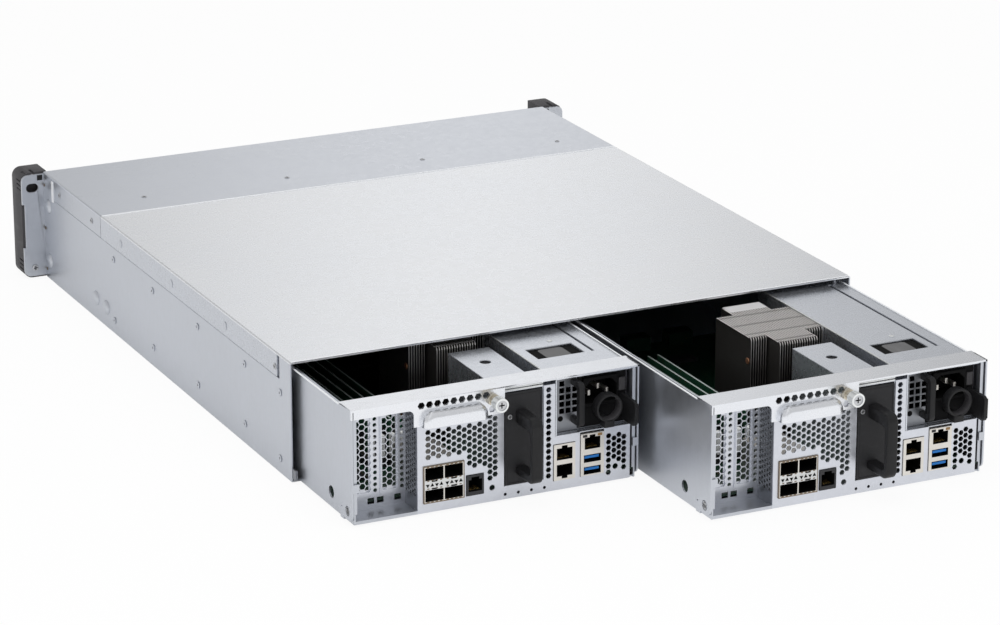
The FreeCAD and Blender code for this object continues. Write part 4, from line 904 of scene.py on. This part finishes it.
class SERVER_OT_slot_covers(bpy.types.Operator):
    """Model the vented blanks of the expansion slots"""

    bl_idname = "server.slot_covers"
    bl_label = "Slot covers"

    def execute(self, context):
        vents = context.scene.server_vents
        flats = vents.slot_flats / MM
        pitch, wide = flats + 0.55, (flats + 0.55) * math.sqrt(3) / 2
        blank = block("slot_cover", (-7, 7), (-22.5, -21.7), (12.7, 72.7))
        raised = block("raised", (-6.5, 6.5), (-21.9, -21.2), (14.4, 71.6))
        round_edges(raised, running("Y"), 2.2, 4)
        weld(blank, raised)
        hollow = block("hollow", (-5.7, 5.7), (-21.6, -20), (15.2, 70.8))
        round_edges(hollow, running("Y"), 1.6, 4)
        carve(blank, hollow)
        for k in (-1, 0, 1):
            start = 69.8 - pitch / 2 * (1 + abs(k))
            carve(blank, hexes(k * wide, start, flats, 1, 11, (0, -pitch), (-26, -18)))
        pair = scatter("slot_covers", coat(blank, "panel"), [(x, 0, 0) for x in SLOT_X])
        fit(pair, node="slot_covers")
        return {"FINISHED"}


class SERVER_OT_ports(bpy.types.Operator):
    """Model the transceiver cages and the jacks"""

    bl_idname = "server.ports"
    bl_label = "Ports"

    def contacts(self, x, y, z, count, pitch, size):
        """Wires behind the plane Y, the first one at X."""
        wire = block("wire", (x - size / 2, x + size / 2), (y - 9, y - 2.5), (z, z + size), "gold")
        return row(wire, count, (pitch, 0, 0))

    def jack(self, shell, x, z, key_up):
        """Carves a network jack, and gives its wires."""
        way = (z + 8.2, z + 10.4) if key_up else (z - 1.8, z + 0.4)
        # The rooms of the jacks are walled in the near black inside finish: painted shade in them.
        for half, height in ((6, (z, z + 8.6)), (2.2, way)):
            carve(shell, block("room", (x - half, x + half), (JACK_Y[0], 0), height, "inside"))
        return self.contacts(x - 4.2, JACK_Y[1], z + (0.6 if key_up else 7.6), 8, 1.2, 0.4)

    def socket(self, shell, x, z):
        """Carves a bus socket, and gives its tongue."""
        # The room of the socket is walled in the near black inside finish: painted shade in it.
        carve(shell, block("room", (x - 6.6, x + 6.6), (JACK_Y[0], 0), (z, z + 5.6), "inside"))
        tongue = block("tongue", (x - 5.6, x + 5.6), (JACK_Y[0], -1.6), (z + 2.6, z + 4.6), "blue", 0.25)
        return [tongue, self.contacts(x - 3.6, -0.2, z + 2.35, 4, 2.3, 1.1)]

    def shell(self, x, z, finish):
        body = block("shell", x, (-22.7, JACK_Y[1]), z, finish)
        round_edges(body, running("Y"), 0.5, 2)
        return body

    def jacks(self):
        console = self.shell((9.9, 22.9), (BOARD_TOP, 23.5), "grey")
        # The rooms of the console port are walled in the near black inside finish: painted shade in them.
        carve(console, block("room", (11.3, 21.5), (JACK_Y[0], 0), (11.5, 20.1), "inside"))
        carve(console, block("step", (13.4, 19.4), (JACK_Y[0], 0), (19.8, 22.0), "inside"))
        pieces = [console, self.contacts(12.6, JACK_Y[1], 12.0, 8, 1.08, 0.4)]
        lan = self.shell((-59.9, -43.4), (BOARD_TOP, 35.0), "nickel")
        pieces += [self.jack(lan, -51.65, 23.5, True), self.jack(lan, -51.65, 11.5, False), lan]
        stack = self.shell((-82.1, -64.1), (BOARD_TOP, 39.5), "nickel")
        pieces.append(self.jack(stack, -73.1, 28.0, True))
        for x, window in ((-67.4, "grey"), (-78.8, "amber_lamp")):
            pieces.append(block("lamp", (x - 1.6, x + 1.6), (-1.2, -0.5), (37.0, 38.8), window))
        pieces += self.socket(stack, -73.1, 9.5) + self.socket(stack, -73.1, 18.3)
        return joined("jacks", [*pieces, stack])

    def cage(self):
        shell = block("cage", (24.9, 54.9), (-52.7, JACK_Y[1]), (BOARD_TOP, 35.0), "nickel")
        pieces = [shell]
        for x in (25.8, 40.35):
            for z in (9.5, 24.9):
                # The cells are walled in the near black inside finish: painted shade in the cage.
                carve(shell, block("cell", (x, x + 13.65), (-51.8, 1), (z, z + 9.2), "inside"))
                for low in (z - 0.75, z + 8.95):
                    spring = block("spring", (x + 1.0, x + 2.8), (-1.0, -0.35), (low, low + 1.0), "tan", 0.2)
                    pieces.append(row(spring, 4, (3.2, 0, 0)))
        pieces.append(block("strip", (25.2, 54.6), (-1.2, -0.4), (18.0, 24.9), "pale", 0.2))
        for x in (32.6, 47.2):
            for z in (18.3, 23.7):
                pieces.append(block("tab", (x - 2.0, x + 2.0), (-0.6, -0.2), (z, z + 1.0), "inside", 0.15))
            for k in range(4):
                arrow = bar("arrow", "Y", (x - 5.1 + k * 3.4, -0.4, 21.4), 1.6, 0.3, 3, math.pi * (k % 2))
                pieces.append(coat(arrow, "inside"))
        frame_edge = block("edge", (24.6, 55.2), (-1.4, -0.5), (8.3, 35.3))
        carve(frame_edge, block("hole", (25.2, 54.6), (-5, 2), (8.9, 34.7)))
        pieces.append(coat(frame_edge, "tan"))
        return joined("sfp_cage", pieces)

    def execute(self, context):
        fit(self.jacks(), node="jacks")
        fit(self.cage(), node="sfp_cage")
        return {"FINISHED"}


class SERVER_OT_levers(bpy.types.Operator):
    """Model the ejector levers with their finger scoops"""

    bl_idname = "server.levers"
    bl_label = "Levers"

    def scoop(self):
        """An open shell with a rounded crown, closed to the plate along its rim."""
        shell = block("scoop", (8.4, 57.4), (-0.6, 6.5), (LEVER_FOOT, 76.2))
        round_edges(shell, running("Y", ("Z", 76.2)), 8, 6)
        pick(shell, "FACE", lambda f: facing("Y", -1)(f) or facing("Z", -1)(f))
        bpy.ops.mesh.delete(type="FACE")
        clear()
        pick(shell, "EDGE", lambda e: all(abs(v.co.y - 6.5 * MM) < 1e-5 for v in e.verts) and not
             all(abs(v.co.z - LEVER_FOOT * MM) < 1e-5 for v in e.verts))
        bpy.ops.mesh.bevel(offset=4.5 * MM, segments=5, affect="EDGES")
        clear()
        modify(shell, "SOLIDIFY", thickness=1.2 * MM, offset=-1)
        return smooth(shell, 50)

    def execute(self, context):
        top = block("lever", (-LEVER_HALF, LEVER_HALF), (-21, 0), (LEVER_TOP - SHEET, LEVER_TOP))
        plate = block("plate", (-5.6, 62.4), (-SHEET, 0), (LEVER_FOOT, LEVER_TOP))
        strip = block("strip", (60, LEVER_HALF), (-SHEET, 0), (77.5, LEVER_TOP))
        web = block("web", (61, 66.4), (-SHEET, 0), (73.5, 78.5))
        carve(web, bar("round", "Y", (66.4, 0, 73.5), 4, 6, 32))
        arms = []
        for x in (LEVER_HALF - SHEET, -LEVER_HALF):
            arm = block("arm", (x, x + SHEET), (-17, 0), (3.9, LEVER_TOP))
            round_edges(arm, running("X", ("Y", 0), ("Z", 3.9)), 5.0, 3)
            claw = block("claw", (x, x + SHEET), (-20, -14), (2.1, 10))
            tab = block("tab", sorted((x + 0.6, x * 0.96)), (-SHEET, 0), (25, 31))
            arms.append(coat(weld(arm, claw, tab), "zinc"))
        for piece in (top, plate, strip, web):
            coat(piece, "lever")
        weld(top, plate, strip, web, *arms)
        bends = [running("X", ("Y", 0), ("Z", LEVER_TOP))]
        bends += [running("Y", ("X", x), ("Z", LEVER_TOP)) for x in (LEVER_HALF, -LEVER_HALF)]
        round_edges(top, lambda edge: any(bend(edge) for bend in bends), 1.1, 4)
        carve(top, block("relief", (106.7, 107.3), (-3, 1), (76, 82.9)))
        carve(top, hexes(56.9, 80.0, 4.7, 9, 1, (-6.06, 0)))
        carve(top, hexes(3.9, 69.5, 4.7, 1, 1, (0, 0)))
        carve(top, bar("bore", "Y", (SCREW_X, 0, SCREW_Z), 2.1, 8, 16))
        mouth = block("mouth", (9.6, 56.2), (-3, 2), (60, 75.0))
        round_edges(mouth, running("Y", ("Z", 75.0)), 6.8, 6)
        carve(top, mouth)
        carve(top, bar("pivot", "X", (0, PIVOT_Y, PIVOT_Z), 3.6, 240, 24))
        smooth(top, 30)
        scoop = coat(self.scoop(), "lever")
        studs = [coat(soften(bar("stud", "X", (x, PIVOT_Y, PIVOT_Z), 3.0, 2.0), 0.3), "screw")
                 for x in (107.5, -107.5)]
        fit(joined("pivot_studs", studs))
        fit(joined("lever", [top, scoop]), "lever", "lever")
        return {"FINISHED"}


class SERVER_OT_thumbscrews(bpy.types.Operator):
    """Model the captive thumbscrews, sprung out of their levers"""

    bl_idname = "server.thumbscrews"
    bl_label = "Thumbscrews"

    def execute(self, context):
        ribs = context.scene.server_parts.grip_ribs
        knob = bar("thumbscrew", "Y", (SCREW_X, 12.5, SCREW_Z), 5, 7, 2 * ribs)
        flats = [k for k, face in enumerate(knob.data.polygons) if abs(face.normal.y) < 0.5][::2]
        pick(knob, "FACE", lambda f: f.index in flats)
        bpy.ops.mesh.inset(thickness=0.18 * MM, depth=-0.45 * MM, use_individual=True)
        clear()
        coat(knob, "bright")
        carve(knob, coat(bar("dish", "Y", (SCREW_X, 16, SCREW_Z), 3.7, 1.0, 32), "screw"))
        # The cross slot is cut with the near black inside finish: painted shade in it.
        for x, z in ((2.1, 0.45), (0.45, 2.1)):
            slot = block("slot", (SCREW_X - x, SCREW_X + x), (14.2, 18), (SCREW_Z - z, SCREW_Z + z), "inside")
            carve(knob, slot)
        neck = bar("neck", "Y", (SCREW_X, 6.2, SCREW_Z), 3.2, 6.0, 24)
        ring = soften(bar("ring", "Y", (SCREW_X, 8.3, SCREW_Z), 3.9, 0.9, 24), 0.3)
        collar = soften(bar("collar", "Y", (SCREW_X, 1.8, SCREW_Z), 4.7, 3.0, 6), 0.5)
        shank = bar("shank", "Y", (SCREW_X, -0.4, SCREW_Z), 1.5, 1.6, 16)
        parts = [coat(smooth(p), "brass") for p in (neck, ring, collar, shank)]
        fit(joined("thumbscrew", [knob, *parts]), "thumbscrew", "thumbscrew")
        return {"FINISHED"}


class SERVER_OT_power_supplies(bpy.types.Operator):
    """Model the inlets, handles, latches and cord clamps of the power supplies"""

    bl_idname = "server.power_supplies"
    bl_label = "Power supplies"

    def inlet(self):
        body = block("power_inlet", INLET_X, (-29, -5), INLET_Z, "deep_black", 0.8, 3)
        # The mouth is walled in the near black inside finish: partly the inlet's black plastic, partly painted
        # shade in the hollow.
        mouth = block("mouth", (-93.65, -69.15), (-22, 0), (59.75, 76.25), "inside")
        round_edges(mouth, running("Y", ("Z", 76.25)), 4.5, 1)
        round_edges(mouth, running("Y", ("Z", 59.75)), 1.2, 3)
        carve(body, mouth)
        pins = []
        for x, z in ((-88.4, 66.0), (-81.4, 70.0), (-74.4, 66.0)):
            pins.append(block("pin", (x - 1, x + 1), (-22, -9), (z - 2, z + 2), "nickel", 0.4))
        return joined("power_inlet", [body, *pins])

    def handle(self):
        bow = block("psu_handle", (-63.7, -59.2), (-7.5, 6.5), (47.5, 79.5))
        round_edges(bow, running("X", ("Y", 6.5)), 4.0, 6)
        gap = block("gap", (-66, -57), (-12, 2.0), (52.0, 75.0))
        round_edges(gap, running("X", ("Y", 2.0)), 2.0, 4)
        carve(bow, gap)
        return coat(smooth(soften(bow, 0.8, 3), 40), "black")

    def latch(self):
        finger = block("psu_latch", (-99.2, -96.8), (-15.5, 16.5), (45.6, 63.6))
        round_edges(finger, running("X", ("Y", 16.5)), 3.0, 5)
        ribs = row(block("rib", (-100.4, -99.0), (11.6, 12.4), (47.5, 61.7)), 3, (0, 1.5, 0))
        weld(finger, bar("barrel", "Z", (-99.2, -15.5, 54.6), 1.6, 18, 20))
        soften(finger, 0.4)
        return coat(smooth(joined("psu_latch", [finger, ribs])), "black")

    def clamp(self):
        x, z = -80.7, 60.05
        ring = coat(bar("cord_clamp", "Y", (x, 6.5, z), 10, 8, 48), "black")
        carve(ring, coat(bar("bore", "Y", (x, 6.5, z), 8.4, 20, 48), "cap"))
        soften(ring, 0.5, 2, 60)
        foot = block("foot", (x - 2.5, x + 2.5), (-7.5, 10.5), (48.75, 51.35))
        teeth = row(block("tooth", (x - 2.1, x + 2.1), (-6.5, -5.7), (51.3, 51.9)), 5, (0, 1.7, 0))
        catch = block("catch", (x - 3.8, x + 3.8), (2.5, 10.2), (45.8, 50.6))
        parts = [coat(soften(p, 0.3), "black") for p in (foot, teeth, catch)]
        return smooth(joined("cord_clamp", [ring, *parts]), 40)

    def execute(self, context):
        fit(self.inlet(), "psu", "power_inlet")
        fit(self.handle(), "psu", "psu_handle")
        fit(self.latch(), "psu_latch", "psu_latch")
        fit(self.clamp(), "psu", "cord_clamp")
        mark = coat(bar("mark", "Y", (-51.5, -7.45, 51.0), 2.0, 0.3, 20), "inside")
        plate = block("plate", (-102.0, -64.2), (-7.7, -7.0), (42.4, 80.2), "deep_black", 0.2)
        carve(plate, block("window", INLET_X, (-9, -5), INLET_Z))
        hook = block("hook", (-100.6, -95.6), (-7.2, -5.4), (65.5, 75.0), "cap", 0.4)
        fit(joined("psu_face", [plate, mark, hook]), "psu")
        # The pad is a dark sheet in the cover's window: painted shade of the recess under it.
        pad = block("pad", (-88.5, -53.4), (-66.3, -45.2), (81.0, 81.1), "inside")
        roll = block("roll", (-80.5, -61.5), (-65.5, -46.0), (81.0, 81.25), "mid_grey")
        round_edges(roll, running("Z"), 3.0, 5)
        fit(joined("psu_top", [pad, roll]), "psu")
        # The fold strip in the bright finish is a painted highlight along the cover's edge.
        fold = block("fold", (-45.7, -44.5), (-232, -22), (81.9, 82.75), "bright", 0.35)
        spot = scatter("spot", coat(dome("dome", 2.0, 0.4), "bright"), [(-77, -76, 82.5)])
        fit(joined("psu_cover_fold", [fold, spot]))
        return {"FINISHED"}


class SERVER_OT_batteries(bpy.types.Operator):
    """Model the battery modules and their grips"""

    bl_idname = "server.batteries"
    bl_label = "Batteries"

    def execute(self, context):
        case = block("bbu_case", (-35.0, -6.5), (-91.2, -1.2), (11.3, 78.2))
        inset(case, "Y", 1, (1.2, 0), (0.4, -0.5), (0.4, 0.4))
        coat(soften(case, 0.35, 2, 60), "battery")
        screw = scatter("screw", aimed(pan_head("head", 1.8, 0.6), "Y"), [(-10.1, -1.4, 61.0)])
        fit(joined("bbu_case", [case, screw]), "bbu", "bbu_case")
        bow = block("bbu_handle", (-22.4, -14.2), (-1.2, 25.8), (18.8, 65.8))
        round_edges(bow, running("X", ("Y", 25.8)), 6.0, 6)
        gap = block("gap", (-30, 0), (-8, 20.9), (24.8, 56.0))
        round_edges(gap, running("X", ("Y", 20.9)), 3.0, 5)
        carve(bow, gap)
        coat(smooth(soften(bow, 1.2, 3), 40), "black")
        fit(bow, "bbu", "bbu_handle")
        # The two lips in the bright finish are painted highlights along the top of the battery bay.
        lips = [block("bay_lip", (-35.6, -5.8), (-6.0, -1.6), (z, z + 1), "bright", 0.4)
                for z in (79.7, 81.4)]
        fit(joined("bay_lip", lips))
        return {"FINISHED"}


class SERVER_OT_tray_rims(bpy.types.Operator):
    """Model the rolled top edges of the trays, with their pale finish as a painted highlight"""

    bl_idname = "server.tray_rims"
    bl_label = "Tray rims"

    def execute(self, context):
        low, high = (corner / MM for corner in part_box("left_tray"))
        half, end, top = (high.x - low.x) / 2, low.y - CANISTERS["left"][1], high.z
        # The rims take the pale edge finish: painted highlight along the trays' top edges.
        rims = [block("rim", (x, x + 1.3), (end, -21.5), (top - 0.7, top + 0.15), "edge", 0.35, 3)
                for x in (half - 1.25, -half - 0.05)]
        fit(joined("tray_rims", rims))
        return {"FINISHED"}


class SERVER_OT_heatsinks(bpy.types.Operator):
    """Model the finned heatsinks with their pipes and blank labels"""

    bl_idname = "server.heatsinks"
    bl_label = "Heatsinks"

    def execute(self, context):
        count = context.scene.server_parts.fins
        short, long, thick, foot = (-169, -117), (-186, -100), 0.5, 13.6
        base = block("base", FIN_X, short, (BOARD_TOP, foot), None, 0.6)
        step = (FIN_X[1] - FIN_X[0] - thick) / (count - 1)
        middle = sum(FIN_X) / 2
        core = [k for k in range(count) if abs(FIN_X[0] + k * step + thick / 2 - middle) < 15.5]
        groups = []
        for chosen, y in ((range(0, core[0]), short), (core, long), (range(core[-1] + 1, count), short)):
            x = FIN_X[0] + chosen[0] * step
            fin = block("fin", (x, x + thick), y, (foot, FIN_TOP))
            round_edges(fin, running("X", ("Z", FIN_TOP)), 2.5, 3)
            hook = block("hook", (x, x + step * 0.8), (y[0] + 2.5, y[1] - 2.5), (FIN_TOP - thick, FIN_TOP))
            groups.append(row(joined("fin", [fin, hook]), len(chosen), (step, 0, 0)))
        whole = coat(joined("fins", [base, *groups]), "fin")
        pipes = [coat(bar("pipe", "X", (middle, y, 22.0), 3.0, 61.0, 20), "copper")
                 for y in (-129, -143, -157)]
        label = block("label", (-30.8, -0.6), (-185.0, -172.0), (FIN_TOP, FIN_TOP + 0.15), "label")
        rivet = scatter("rivet", aimed(coat(dome("head", 2.4, 0.9), "copper"), "X"), [(FIN_X[1], -121, 63.5)])
        fit(joined("heatsink", [whole, *pipes, label, rivet]), node="heatsink")
        return {"FINISHED"}


class SERVER_OT_boards(bpy.types.Operator):
    """Model the memory modules and the parts of the main board"""

    bl_idname = "server.boards"
    bl_label = "Boards"

    def memory(self, chips):
        pieces = []
        board = block("module", (-0.65, 0.65), (-215, -82), (12.1, 41.95), "memory")
        pieces.append(block("edge", (-0.65, 0.65), (-215, -82), (41.95, 42.1), "board_edge"))
        for x in ((-1.6, -0.6), (0.6, 1.6)):
            chip = block("chip", x, (-212, -201), (20, 32), "chip", 0.15)
            pieces.append(row(chip, chips, (0, 14.2, 0)))
        for x in ((-0.75, -0.6), (0.6, 0.75)):
            lead = block("lead", x, (-213, -212.2), (15.5, 17.8), "gold")
            pieces.append(row(lead, 64, (0, 2.0, 0)))
        socket = block("socket", (-3, 3), (-221, -76), (BOARD_TOP, 15.6))
        carve(socket, block("slot", (-0.75, 0.75), (-216, -81), (12, 18)))
        catches = []
        for y in ((-220.5, -215.4), (-81.6, -76.5)):
            catches.append(block("catch", (-1.8, 1.8), y, (12, 32), "pale", 0.8))
        coat(soften(socket, 0.4), "chip")
        module = joined("module", [board, *pieces, socket, *catches])
        return scatter("memory_modules", module, [(x, 0, 0) for x in MODULE_X])

    def parts(self):
        pieces = []
        for x, y, w, l, h in ((84, -70, 22, 22, 2.4), (86, -120, 14, 20, 1.6), (82, -180, 26, 26, 3.0),
                              (88, -250, 18, 14, 1.6), (20, -250, 30, 30, 3.4), (-20, -280, 20, 12, 2.0)):
            spread = (x - w / 2, x + w / 2), (y - l / 2, y + l / 2)
            chip = block("chip", *spread, (BOARD_TOP, BOARD_TOP + h), "chip")
            pieces.append(inset(chip, "Z", 1, (0.8, 0.3)))
        for x, y, count in ((98, -60, 6), (98, -150, 5), (75, -215, 4), (30, -70, 3)):
            can = smooth(soften(bar("can", "Z", (x, y, 13.1), 3.2, 9.0, 20), 0.6))
            pieces.append(coat(row(can, count, (0, -9.5, 0)), "screw"))
        for x, y, count in ((70, -60, 14), (92, -95, 10), (78, -225, 16), (60, -240, 12), (0, -235, 12)):
            part = block("part", (x - 0.8, x + 0.8), (y - 1.6, y + 1.6), (BOARD_TOP, 9.5), "tan")
            pieces.append(row(part, count, (0, -4.4, 0)))
        for x, y in ((96, -215), (70, -290)):
            pieces.append(block("coil", (x - 6, x + 6), (y - 6, y + 6), (BOARD_TOP, 16.0), "grey", 1.4, 3))
        return joined("board_parts", pieces)

    def execute(self, context):
        fit(self.memory(context.scene.server_parts.module_chips), node="memory_modules")
        fit(self.parts())
        return {"FINISHED"}


# Stage
CAMERA = Vector((1.18894, 2.60430, 0.98152))
CAMERA_AIM = Vector((-0.06709, -0.01488, 0.0))
LAMP = Vector((0.5, 1.0, 2.4))
LAMP_AIM = Vector((0, 0.1, 0))
BAND_NORMAL = (-0.9063, 0.4226, 0)  # level, and square to the plane of the bright band


class SERVER_OT_stage(bpy.types.Operator):
    """Set up the camera, floor, lamp and surroundings"""

    bl_idname = "server.stage"
    bl_label = "Stage"

    def turn(self, place, aim):
        return (aim - place).to_track_quat("-Z", "Y").to_euler()

    def camera(self, stage):
        clear()
        bpy.ops.object.camera_add(location=CAMERA, rotation=self.turn(CAMERA, CAMERA_AIM))
        camera = bpy.context.active_object
        camera.data.lens = stage.lens
        camera.data.sensor_width = 36.0
        bpy.context.scene.camera = camera

    def rays(self, f):
        """Two values that are one for camera rays and for reflections."""
        return [f.node("LightPath", out=f"Is {kind} Ray") for kind in ("Camera", "Glossy")]

    def floor(self, stage):
        """Paper that is white to the camera, and pale behind the canisters in reflections."""
        clear()
        bpy.ops.mesh.primitive_plane_add(size=14, location=(0, 0, -0.0004))
        floor = named("floor")
        f = Finish("floor_paper")
        matt = f.node("BsdfDiffuse", None, {"Color": (0.9, 0.9, 0.9, 1)})
        glow = f.node("Emission", None, {"Color": (1, 1, 1, 1), "Strength": 1.0})
        camera, glossy = self.rays(f)
        sheen = f.span(f.axis("Y"), 0.30, 0.46, stage.side_sheen, 0.8)
        surface = f.node("MixShader", None, {0: camera * 0.92 + glossy * sheen, 1: matt, 2: glow})
        f.node("OutputMaterial", None, {"Surface": surface})
        floor.data.materials.append(f.block)

    def surroundings(self, stage):
        """White to the camera, an even fill, and in reflections a bright band with dim room beside it."""
        f = Finish("studio", "worlds")
        bpy.context.scene.world = f.block
        way = f.node("TexCoord", out="Generated")
        across = f.node("VectorMath", {"operation": "DOT_PRODUCT"}, {0: way, 1: BAND_NORMAL}, out="Value")
        off = across * (1 / stage.band)
        band = f.node("Math", {"operation": "DIVIDE"}, {0: 1.0, 1: off * off + 1.0})
        beside = f.span(across * across, 0.06, 0.2, 0.0, stage.plain)
        ahead = f.node("SeparateXYZ", None, {"Vector": way}, out="Y")
        behind = f.span(ahead, -0.2, 0.1, 0.0, stage.plain)
        mirror = f.larger(band * (1.0 - stage.dim) + stage.dim, f.larger(beside, behind))
        camera, glossy = self.rays(f)
        white = glossy * (mirror - 1.0) + 1.0
        strength = f.larger(camera, glossy) * (white - stage.fill) + stage.fill
        light = f.node("Background", None, {"Color": (1, 1, 1, 1), "Strength": strength})
        f.node("OutputWorld", None, {"Surface": light})

    def execute(self, context):
        stage = context.scene.server_stage
        context.scene.view_settings.view_transform = "Standard"
        self.camera(stage)
        self.floor(stage)
        self.surroundings(stage)
        clear()
        bpy.ops.object.light_add(type="AREA", location=LAMP, rotation=self.turn(LAMP, LAMP_AIM))
        lamp = bpy.context.active_object
        lamp.data.size = 2.4
        lamp.data.energy = stage.key
        lamp.visible_glossy = False
        return {"FINISHED"}


class SERVER_PT_panel(bpy.types.Panel):
    """The steps of the server, in order"""

    bl_label = "Storage server"
    bl_space_type = "VIEW_3D"
    bl_region_type = "UI"
    bl_category = "Server"

    def draw(self, context):
        for operator in OPERATORS:
            self.layout.operator(operator.bl_idname)
        for key in GROUPS:
            settings = getattr(context.scene, key)
            for name in settings.bl_rna.properties.keys():
                if name not in ("rna_type", "name"):
                    self.layout.prop(settings, name)


OPERATORS = (
    SERVER_OT_dress_solids, SERVER_OT_case_fittings, SERVER_OT_ear_caps, SERVER_OT_drive_carriers,
    SERVER_OT_rear_panels, SERVER_OT_slot_covers, SERVER_OT_ports, SERVER_OT_levers, SERVER_OT_thumbscrews,
    SERVER_OT_power_supplies, SERVER_OT_batteries, SERVER_OT_tray_rims, SERVER_OT_heatsinks, SERVER_OT_boards,
    SERVER_OT_stage,
)
GROUPS = {"server_vents": ServerVents, "server_parts": ServerParts, "server_colours": ServerColours,
          "server_stage": ServerStage}
CLASSES = (*GROUPS.values(), *OPERATORS, SERVER_PT_panel)


def register():
    for item in CLASSES:
        bpy.utils.register_class(item)
    for key, group in GROUPS.items():
        setattr(bpy.types.Scene, key, PointerProperty(type=group))


def unregister():
    for key in GROUPS:
        delattr(bpy.types.Scene, key)
    for item in reversed(CLASSES):
        bpy.utils.unregister_class(item)


def main():
    register()
    for operator in OPERATORS:
        group, name = operator.bl_idname.split(".")
        getattr(getattr(bpy.ops, group), name)()


if __name__ == "__main__":
    main()
